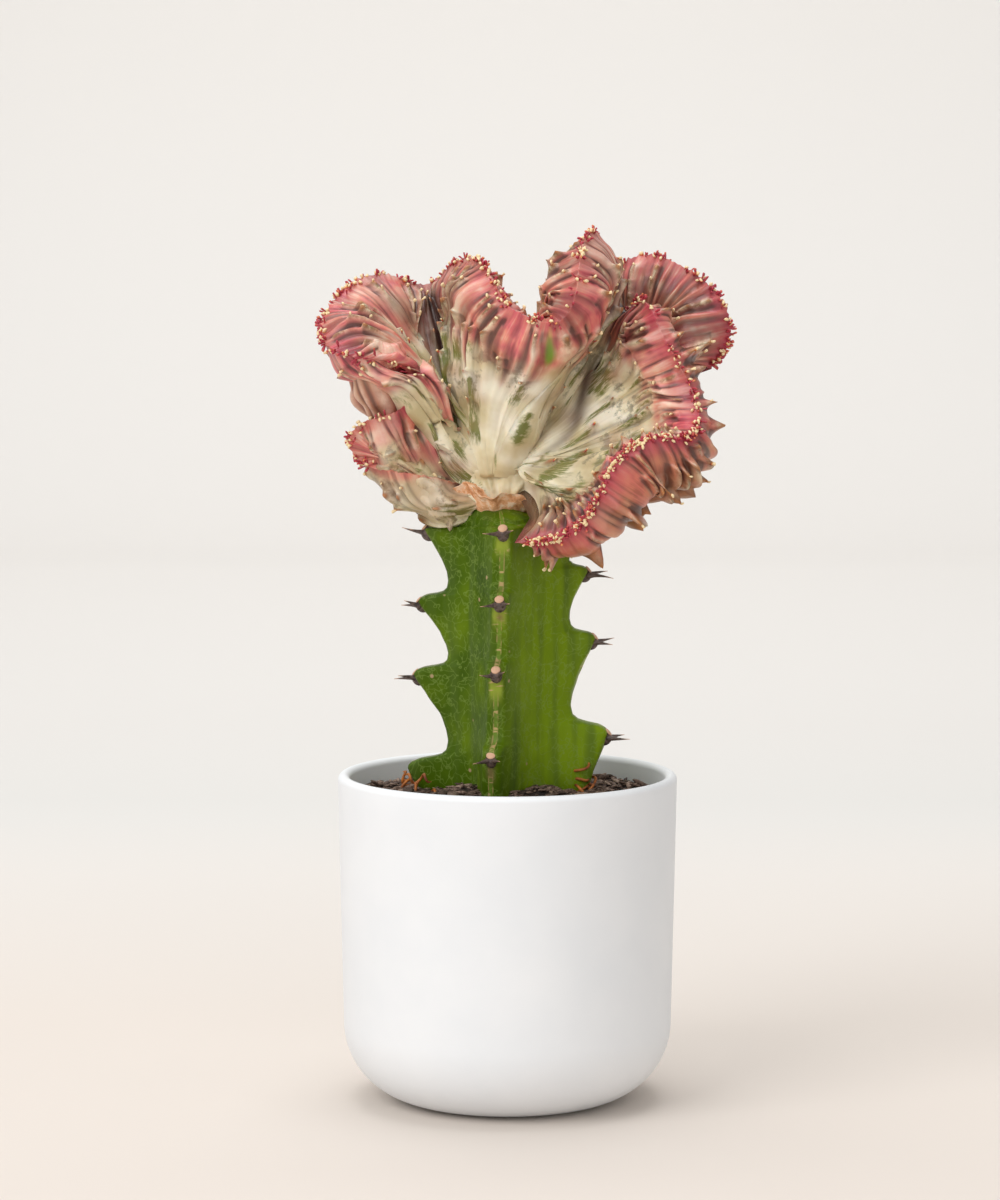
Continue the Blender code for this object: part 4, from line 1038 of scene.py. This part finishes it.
class EUPHORBIA_OT_soil(bpy.types.Operator):
    """Fills the pot with a bed of peat under loose bark chips"""

    bl_idname = "euphorbia.soil"
    bl_label = "Soil"

    def execute(self, context):
        settings = context.scene.euphorbia_soil
        finish = soil_material(settings)
        turn = full_turn(180)
        share = np.linspace(0.02, 1, 70)[:, None]
        edge = cavity_radius(SOIL_EDGE_HEIGHT) - SOIL_GAP
        x, y = share * edge * np.cos(turn), share * edge * np.sin(turn)
        top = np.stack([x, y, soil_bed(x, y)], axis=-1)
        levels = np.array((108.0, 96.0))[:, None]
        wall = cavity_radius(levels) - SOIL_GAP
        rings = np.concatenate([top, around_z(wall, turn, levels)])
        shade = 0.25 + 0.3 * ripple(rings, 6.0, 43)
        make_piece("peat_bed", rings, finish, "bark_soil", ("soil",), shade=shade)
        draw = np.random.default_rng(44)
        tries = settings.chips * 2
        far = np.sqrt(draw.uniform(0.05, 1, tries)) * (edge - 1.5)
        way = draw.uniform(0, 2 * np.pi, tries)
        x, y = far * np.cos(way), far * np.sin(way)
        keep = np.nonzero(outside_stem(x, y, 0.3))[0][: settings.chips]
        x, y = x[keep], y[keep]
        count = len(keep)
        length = settings.chip_length / MM * draw.lognormal(0, 0.38, count)
        wide = length * draw.uniform(0.22, 0.55, count)
        thick = wide * draw.uniform(0.3, 0.6, count)
        heading = draw.uniform(0, 2 * np.pi, count)
        tilt = draw.normal(0, 0.24, count)
        forward = around_z(np.cos(tilt), heading, np.sin(tilt))
        rolled = draw.normal(0, 0.35, (count, 1))
        flat = around_z(1, heading + np.pi / 2, 0)
        across = swung(flat, np.cross(forward, flat), rolled)
        normal = np.cross(forward, across)
        middle = np.stack([x, y, soil_bed(x, y) + draw.uniform(0.1, 1.0, count)], axis=-1)
        # A chip is four rings of five points that narrow to both ends
        along = np.array((-0.5, -0.3, 0.28, 0.5))
        girth = np.array((0.35, 1.0, 0.9, 0.3))
        jitter = draw.uniform(0.75, 1.2, (count, 4, 5, 1))
        bend = draw.normal(0, 0.12, (count, 1, 1))
        path = middle[:, None] + forward[:, None] * (length[:, None] * along)[..., None]
        path = path + normal[:, None] * bend * (length[:, None] * along**2)[..., None]
        broad, high = (across * wide[:, None])[:, None], (normal * thick[:, None])[:, None]
        section = swung(broad, high, full_turn(5)[:, None])
        rings = path[:, :, None] + section[:, None] * girth[:, None, None] * 0.5 * jitter
        shade = draw.beta(1.6, 2.2, count) * 1.3 + 0.25
        make_piece("bark_chips", rings, finish, "bark_soil", ("soil",), shade=shade)
        return {"FINISHED"}


class EUPHORBIA_OT_rootstock(bpy.types.Operator):
    """Grows the four-winged green rootstock"""

    bl_idname = "euphorbia.rootstock"
    bl_label = "Rootstock"

    def execute(self, context):
        settings = context.scene.euphorbia_stem
        # Rings crowd over the last fifth of each step, where a tooth juts out
        tooth = np.linspace(0.82, 1, 26)[:-1]
        part = np.concatenate([np.linspace(0, 0.82, 34)[:-1], tooth])
        first, last = np.linspace(0.3, 0.81, 24), np.linspace(4, 5, 30)
        steps = np.concatenate([first, tooth, 1 + part, 2 + part, 3 + part, last])
        # Lines crowd towards the middle of each wing
        crowd = np.linspace(-1, 1, 71)[:-1]
        crowd = 0.5 + 0.5 * np.sign(crowd) * (1 - (1 - np.abs(crowd)) ** 2.2)
        crowd = np.where(np.abs(crowd - 0.5) < 1e-9, 0.5, crowd)
        centres = sorted(wing[0] for wing in WINGS.values())
        gaps = np.diff([*centres, centres[0] + 360])
        angles = np.concatenate([centre + gap * crowd for centre, gap in zip(centres, gaps)])
        rings, edge = stem_rings(steps, angles)
        out = unit(rings * (1, 1, 0))
        sway = 0.45 * ripple(rings, 26.0, 51) + 0.14 * ripple(rings, 7.0, 52)
        sway = sway * (rings[..., 2] < STEM_TOP - 2)
        rings = rings + out * sway[..., None]
        # The top swells a little round the graft
        near = np.hypot((rings[..., 0] + 6) / 19, (rings[..., 1] + 3) / 20)
        lobes = 1 + 0.25 * np.cos(5 * np.arctan2(rings[..., 1], rings[..., 0]) + 1)
        rings[..., 2] += 4.6 * np.clip(1.15 - near, 0, 0.9) * lobes * (steps < 0.86)[:, None]
        part = (steps + 0.5) % 1 - 0.5
        tooth = bell(part / 0.07) * (steps > 0.9) * (steps < 4.6)
        rim = limit(edge * 2 - 1)
        cork = limit(tooth[:, None] * rim * 0.8 + 0.5 * rim * (ripple(rings, 9.0, 53) - 0.5))
        low = bell((part - 0.2) / 0.13) * (steps > 0.9) * (steps < 4)
        marks = {"edge": edge, "cork": cork, "under": low[:, None] * limit(edge * 4 - 1.6)}
        make_piece("rootstock_skin", rings, stem_material(settings), "green_stem", ("rootstock",), **marks)
        return {"FINISHED"}


def tooth_places():
    """Roots of the tooth tips that bear spines, their outward directions and their sideways ones."""
    places = []
    for angle, heights, tips, _ in WINGS.values():
        for height, tip in zip(heights, tips):
            if SPINY[0] < height < SPINY[1]:
                turn = math.radians(angle - STEM_TWIST * (STEM_TOP - height))
                out = around_z(1, turn, 0)
                root = np.array((STEM_X, 0, height - 1.2)) + out * (tip - 1.2)
                places.append((root, out, (-out[1], out[0], 0)))
    return np.array(places).transpose(1, 0, 2)


def domes(centres, ways, across, half):
    """Round caps: each a squashed half ball, half = (wide, high, deep), that bulges along its way."""
    lift = np.radians(np.linspace(-50, 86, 9))[:, None, None]
    half = half[:, None, None]
    up = np.cross(ways, across)[:, None, None]
    ring = swung(across[:, None, None] * half[..., :1], up * half[..., 1:2], full_turn(18)[:, None])
    return centres[:, None, None] + swung(ring, ways[:, None, None] * half[..., 2:], lift)


class EUPHORBIA_OT_spines(bpy.types.Operator):
    """Sets a horny pad, two spreading spines and a leaf scar on each tooth of the rootstock between the SPINY
    heights
    """

    bl_idname = "euphorbia.spines"
    bl_label = "Spines"

    def execute(self, context):
        settings = context.scene.euphorbia_stem
        finish = horn_material()
        draw = np.random.default_rng(61)
        roots, outs, sides = tooth_places()
        count = len(roots)
        up = np.array((0.0, 0.0, 1.0))
        size = draw.uniform(0.9, 1.15, (count, 1))
        pads = domes(roots - outs * 0.6, unit(outs - up * 0.15), sides, size * (2.4, 2.9, 2.9))
        raised = roots + outs * 1.2 + up * 2.2
        scars = domes(raised, unit(outs * 0.8 + up * 0.7), sides, size * (1.7, 1.7, 0.5))
        rings, pale = np.concatenate([pads, scars]), np.repeat((0.0, 1.0), count)
        make_piece("areole_pads", rings, finish, "green_stem", ("rootstock",), pale=pale)
        grown = []
        for sideways, lift, long in ((-0.62, -0.06, 1.0), (0.55, 0.26, 0.8)):
            wobble = draw.normal(0, 0.1, (count, 3))
            way = unit(outs + sides * sideways + up * lift + wobble)
            length = settings.spine_length / MM * long * draw.uniform(0.75, 1.05, count)
            grown.append((roots + outs * 0.9 + sides * sideways * 1.4, way, length))
        starts, ways, lengths = (np.concatenate(parts) for parts in zip(*grown))
        along = np.linspace(0, 1, 9)
        girth = 1.05 * (1 - along) ** 1.25 * (1 + 0.6 * bell(along / 0.12)) + 0.1
        across = unit(np.cross(ways, up))
        lift = np.cross(across, ways)
        bend = draw.normal(0, 0.08, (len(starts), 1, 1))
        path = starts[:, None] + ways[:, None] * (lengths[:, None] * along)[..., None]
        path = path + lift[:, None] * bend * (lengths[:, None] * along**2)[..., None]
        ring = swung(across[:, None, None], lift[:, None, None], full_turn(9)[:, None])
        rings = path[:, :, None] + ring * girth[:, None, None]
        pale = np.broadcast_to(limit((along - 0.72) / 0.25)[:, None], rings.shape[:3])
        make_piece("spines", rings, finish, "green_stem", ("rootstock",), pale=pale)
        return {"FINISHED"}


def curly_tubes(ends, radius, seed):
    """Thin curly fibres: each goes from its start to its end and swings round that line in a spiral."""
    draw = np.random.default_rng(seed)
    ends = np.asarray(ends, float)
    start, end = ends[:, None, :3], ends[:, None, 3:]
    t = np.linspace(0, 1, 40)[None, :, None]
    line = unit(end - start)
    across = unit(np.cross(line, draw.normal(size=line.shape)))
    turn = 2 * np.pi * 1.6 * t + draw.uniform(0, 6.28, (len(ends), 1, 1))
    wide = 4.0 * np.sin(np.pi * t) * draw.uniform(0.5, 1.2, (len(ends), 1, 1))
    path = start + (end - start) * t + wide * swung(across, np.cross(line, across), turn)
    tangent = unit(np.gradient(path, axis=1))
    side = unit(np.cross(tangent, np.array((0.31, 0.52, 0.79))))
    taper = (radius * np.clip(np.minimum(t, 1 - t) * 12, 0.35, 1))[:, :, None]
    ring = swung(side[:, :, None], np.cross(tangent, side)[:, :, None], full_turn(7)[:, None])
    return path[:, :, None] + taper * ring


class EUPHORBIA_OT_fibres(bpy.types.Operator):
    """Lays dried fibres where the lowest teeth of the rootstock touch the soil"""

    bl_idname = "euphorbia.fibres"
    bl_label = "Dried fibres"

    def execute(self, context):
        # Each fibre's start and end
        ends = (
            (-40, -4, 127, -33, -9, 120), (-40, -3, 124, -35, -8, 117.5), (-39, -7, 126, -29, -10, 124),
            (-38, -8, 122, -26, -11, 117), (27, -8, 119, 30, -9, 133), (25, -9, 118, 33, -8, 122),
            (28, -8, 125, 33, -7, 119), (24, -10, 119, 31, -8, 127),
        )
        rings = curly_tubes(ends, 0.55, 71)
        make_piece("dried_fibres", rings, fibre_material(), "bark_soil", ())
        return {"FINISHED"}


class EUPHORBIA_OT_graft(bpy.types.Operator):
    """Heals the graft with a collar of dry, folded cork"""

    bl_idname = "euphorbia.graft"
    bl_label = "Graft cork"

    def execute(self, context):
        finish = cork_material(context.scene.euphorbia_stem)
        turn = full_turn(160)
        roll = np.linspace(0, 1, 40)[:, None]
        around = around_z(16, turn, 9 * roll)
        torn = 2.4 * ripple(around[:1], 9.0, 81) + 1.2 * ripple(around[:1], 4.0, 84)
        height = CALLUS_BOTTOM - 0.5 + (9.5 + torn) * np.sin(np.pi * np.clip(roll, 0, 0.5)) + 0 * turn
        height = height - 2.5 * limit(roll - 0.6)
        swell = limit(roll * 2.2) ** 0.7 - 1.6 * limit(roll - 0.55)
        folds = 0.07 * ripple(around, 6.0, 82) + 0.035 * ripple(around, 2.5, 83)
        x = GRAFT_X - 2.5 * swell + GRAFT_HALF[0] * (1.0 + 0.42 * swell + folds) * np.cos(turn)
        y = GRAFT_HALF[1] * (1.0 + 0.85 * swell + folds) * np.sin(turn)
        rings = np.stack([x, y, height], axis=-1)
        make_piece("graft_cork", rings, finish, "graft_cork", ("graft_callus",))
        return {"FINISHED"}


def crest_folds(settings):
    """Skin, marks, teeth and rim of the main fold and of the fan behind it."""
    fronts = (FRONT_BLUSH, FRONT_GREY, FRONT_TAN, FRONT_VIGOUR)
    backs = (BACK_BLUSH, BACK_GREY, BACK_TAN, BACK_VIGOUR)
    fans = (FAN_BLUSH, FAN_GREY, FAN_TAN, FAN_VIGOUR)
    main_fold = crest_fold(MAIN_RIM, MAIN_ROOTS, (fronts, backs), 101, settings)
    return main_fold, crest_fold(BACK_RIM, BACK_ROOTS, (fans, fans), 131, settings)


class EUPHORBIA_OT_crest(bpy.types.Operator):
    """Grows the folded crest with its ribs and teeth"""

    bl_idname = "euphorbia.crest"
    bl_label = "Crest"

    def execute(self, context):
        settings = context.scene.euphorbia_crest
        finish = crest_material(settings)
        (skin, marks, _, _), (fan, fan_marks, _, _) = crest_folds(settings)
        cuts = [int(share * (len(skin) - 1)) for share in PARTINGS]
        for name, start, end in zip(("crest_roll", "crest_left", "crest_right"), cuts, cuts[1:]):
            columns = slice(start, end + 1)
            crest_piece(name, skin[columns], {mark: v[columns] for mark, v in marks.items()}, finish)
        crest_piece("crest_fan", fan, fan_marks, finish)
        for number, name in enumerate(SWELLINGS):
            lump(name, 91 + number, finish)
        return {"FINISHED"}


class EUPHORBIA_OT_leaves(bpy.types.Operator):
    """Crowds the crest's rim and the tips of its teeth with tiny leaves"""

    bl_idname = "euphorbia.leaves"
    bl_label = "Rim leaves"

    def execute(self, context):
        settings = context.scene.euphorbia_crest
        draw = np.random.default_rng(141)
        # Along the rim: length, stoutness and gold from and to, of a ripe leaf and then of a young one
        kinds = ((0.3, 0.6, 0.4, 1.1), (1.3, 2.1, 0.8, 1.4), (0.2, 0.6, -0.9, -0.2))
        grown = []
        for _, _, tips, (edge, rimward, outward, along) in crest_folds(settings):
            ribs = len(edge) // COLUMNS_PER_RIB
            groups = np.concatenate([draw.uniform(0.06, 0.995, ribs * 2), draw.uniform(0.84, 0.99, ribs)])
            middles = np.repeat(groups * len(edge), draw.integers(1, 6, len(groups)))
            count = len(middles)
            picked = np.clip(np.rint(middles + draw.normal(0, 1.6, count)).astype(int), 4, len(edge) - 5)
            side = draw.normal(0, 0.9, (count, 1))
            root = edge[picked] + outward[picked] * side * 0.9 - rimward[picked] * 0.7 * np.abs(side)
            lean = along[picked] * draw.normal(0, 0.45, (count, 1))
            way = unit(rimward[picked] + outward[picked] * side * 0.8 + lean)
            ripe = draw.random(count) < 0.42
            told = [np.where(ripe, draw.uniform(*k[:2], count), draw.uniform(*k[2:], count)) for k in kinds]
            grown.append((root, way, *told))
            for places, directions, teeth in tips:
                leafy = draw.random(len(teeth)) < np.where(teeth[:, 1] < 12, 0.6, 0.35)
                places, directions, inner = places[leafy], directions[leafy], teeth[leafy, 2] > 20
                count = len(inner)
                way = unit(directions + draw.normal(0, 0.2, (count, 3)))
                length = draw.uniform(0.35, 0.7, count)
                stout = np.where(inner, 1.0, draw.uniform(1.1, 1.8, count))
                gold = np.where(inner, draw.uniform(0.0, 0.4, count), draw.uniform(0.3, 0.9, count))
                grown.append((places - directions * 0.3, way, length, stout, gold))
        roots, ways, lengths, stout, gold = (np.concatenate(parts) for parts in zip(*grown))
        rings, along = leaf_tubes(roots, ways, lengths * settings.leaf_length / MM, stout, draw)
        finish = leaf_material(settings)
        make_piece("rim_leaves", rings, finish, "crest_skin", ("crest",), along=along, gold=gold)
        return {"FINISHED"}


class EUPHORBIA_OT_stage(bpy.types.Operator):
    """Sets the pale sweep, the soft lights and the camera at the photograph's angle"""

    bl_idname = "euphorbia.stage"
    bl_label = "Stage"

    def execute(self, context):
        settings = context.scene.euphorbia_stage
        bend = arc((2.4, 0.6), 0.6, -90, 0, 16)
        profile = np.concatenate([[(-4.0, 0.0)], bend, [(3.0, 4.0)]])
        across = np.linspace(-4.0, 4.0, 9)
        points = np.stack(np.broadcast_arrays(across, profile[:, :1], profile[:, 1:]), axis=-1).reshape(-1, 3)
        mesh = bpy.data.meshes.new("paper_sweep")
        mesh.from_pydata(points.tolist(), [], grid_faces(len(profile), 9).tolist())
        mesh.shade_smooth()
        mesh.materials.append(stage_material(settings))
        sweep = bpy.data.objects.new("paper_sweep", mesh)
        context.scene.collection.objects.link(sweep)
        world = bpy.data.worlds.new("soft studio")
        world.use_nodes = True
        light = world.node_tree.nodes["Background"]
        light.inputs["Color"].default_value = linear("#ffffff")
        light.inputs["Strength"].default_value = settings.sky
        context.scene.world = world
        # Name, place, aim, size in metres and share of the key light's power; all of them are white
        for name, place, aim, size, share in (
            ("key", (-1.5, -1.5, 1.7), (0, 0, 0.22), 1.6, 1.0),
            ("fill", (0.25, -2.2, 0.9), (0, 0, 0.2), 1.8, 0.25),
            ("top", (0.0, 0.2, 2.0), (0, 0, 0.2), 1.2, 0.54),
            ("backdrop", (0, 1.3, 2.2), (0, 3.0, 0.9), 2.0, 0.73),
        ):
            lamp = bpy.data.lights.new(name, "AREA")
            lamp.shape = "SQUARE"
            lamp.size = size
            lamp.energy = settings.key_power * share
            holder = bpy.data.objects.new(name, lamp)
            holder.location = place
            direction = np.array(aim, float) - np.array(place)
            tilt = math.atan2(math.hypot(direction[0], direction[1]), -direction[2])
            holder.rotation_euler = (tilt, 0, math.atan2(-direction[0], direction[1]))
            context.scene.collection.objects.link(holder)
        lens = bpy.data.cameras.new("camera")
        lens.sensor_fit = "VERTICAL"
        lens.sensor_height = 36.0
        lens.lens = PHOTO_LENS
        camera = bpy.data.objects.new("camera", lens)
        camera.location = PHOTO_PLACE
        camera.rotation_euler = (math.radians(90 - PHOTO_TILT), 0, 0)
        context.scene.collection.objects.link(camera)
        context.scene.camera = camera
        context.scene.view_settings.view_transform = "Standard"
        return {"FINISHED"}


STEPS = ("pot", "soil", "rootstock", "spines", "fibres", "graft", "crest", "leaves", "stage")


class EUPHORBIA_PT_sidebar(bpy.types.Panel):
    """Lists the pieces of the potted euphorbia"""

    bl_idname = "EUPHORBIA_PT_sidebar"
    bl_label = "Potted euphorbia"
    bl_space_type = "VIEW_3D"
    bl_region_type = "UI"
    bl_category = "Euphorbia"

    def draw(self, context):
        for step in STEPS:
            self.layout.operator("euphorbia." + step)


SETTINGS = {
    "euphorbia_pot": EuphorbiaPotSettings,
    "euphorbia_soil": EuphorbiaSoilSettings,
    "euphorbia_stem": EuphorbiaStemSettings,
    "euphorbia_crest": EuphorbiaCrestSettings,
    "euphorbia_stage": EuphorbiaStageSettings,
}
CLASSES = (
    *SETTINGS.values(),
    EUPHORBIA_OT_pot,
    EUPHORBIA_OT_soil,
    EUPHORBIA_OT_rootstock,
    EUPHORBIA_OT_spines,
    EUPHORBIA_OT_fibres,
    EUPHORBIA_OT_graft,
    EUPHORBIA_OT_crest,
    EUPHORBIA_OT_leaves,
    EUPHORBIA_OT_stage,
    EUPHORBIA_PT_sidebar,
)


def register():
    for cls in CLASSES:
        bpy.utils.register_class(cls)
    for name, group in SETTINGS.items():
        setattr(bpy.types.Scene, name, bpy.props.PointerProperty(type=group))


def unregister():
    for name in SETTINGS:
        delattr(bpy.types.Scene, name)
    for cls in reversed(CLASSES):
        bpy.utils.unregister_class(cls)


def main():
    """Builds every piece and the stage."""
    register()
    for step in STEPS:
        getattr(bpy.ops.euphorbia, step)()


if __name__ == "__main__":
    main()
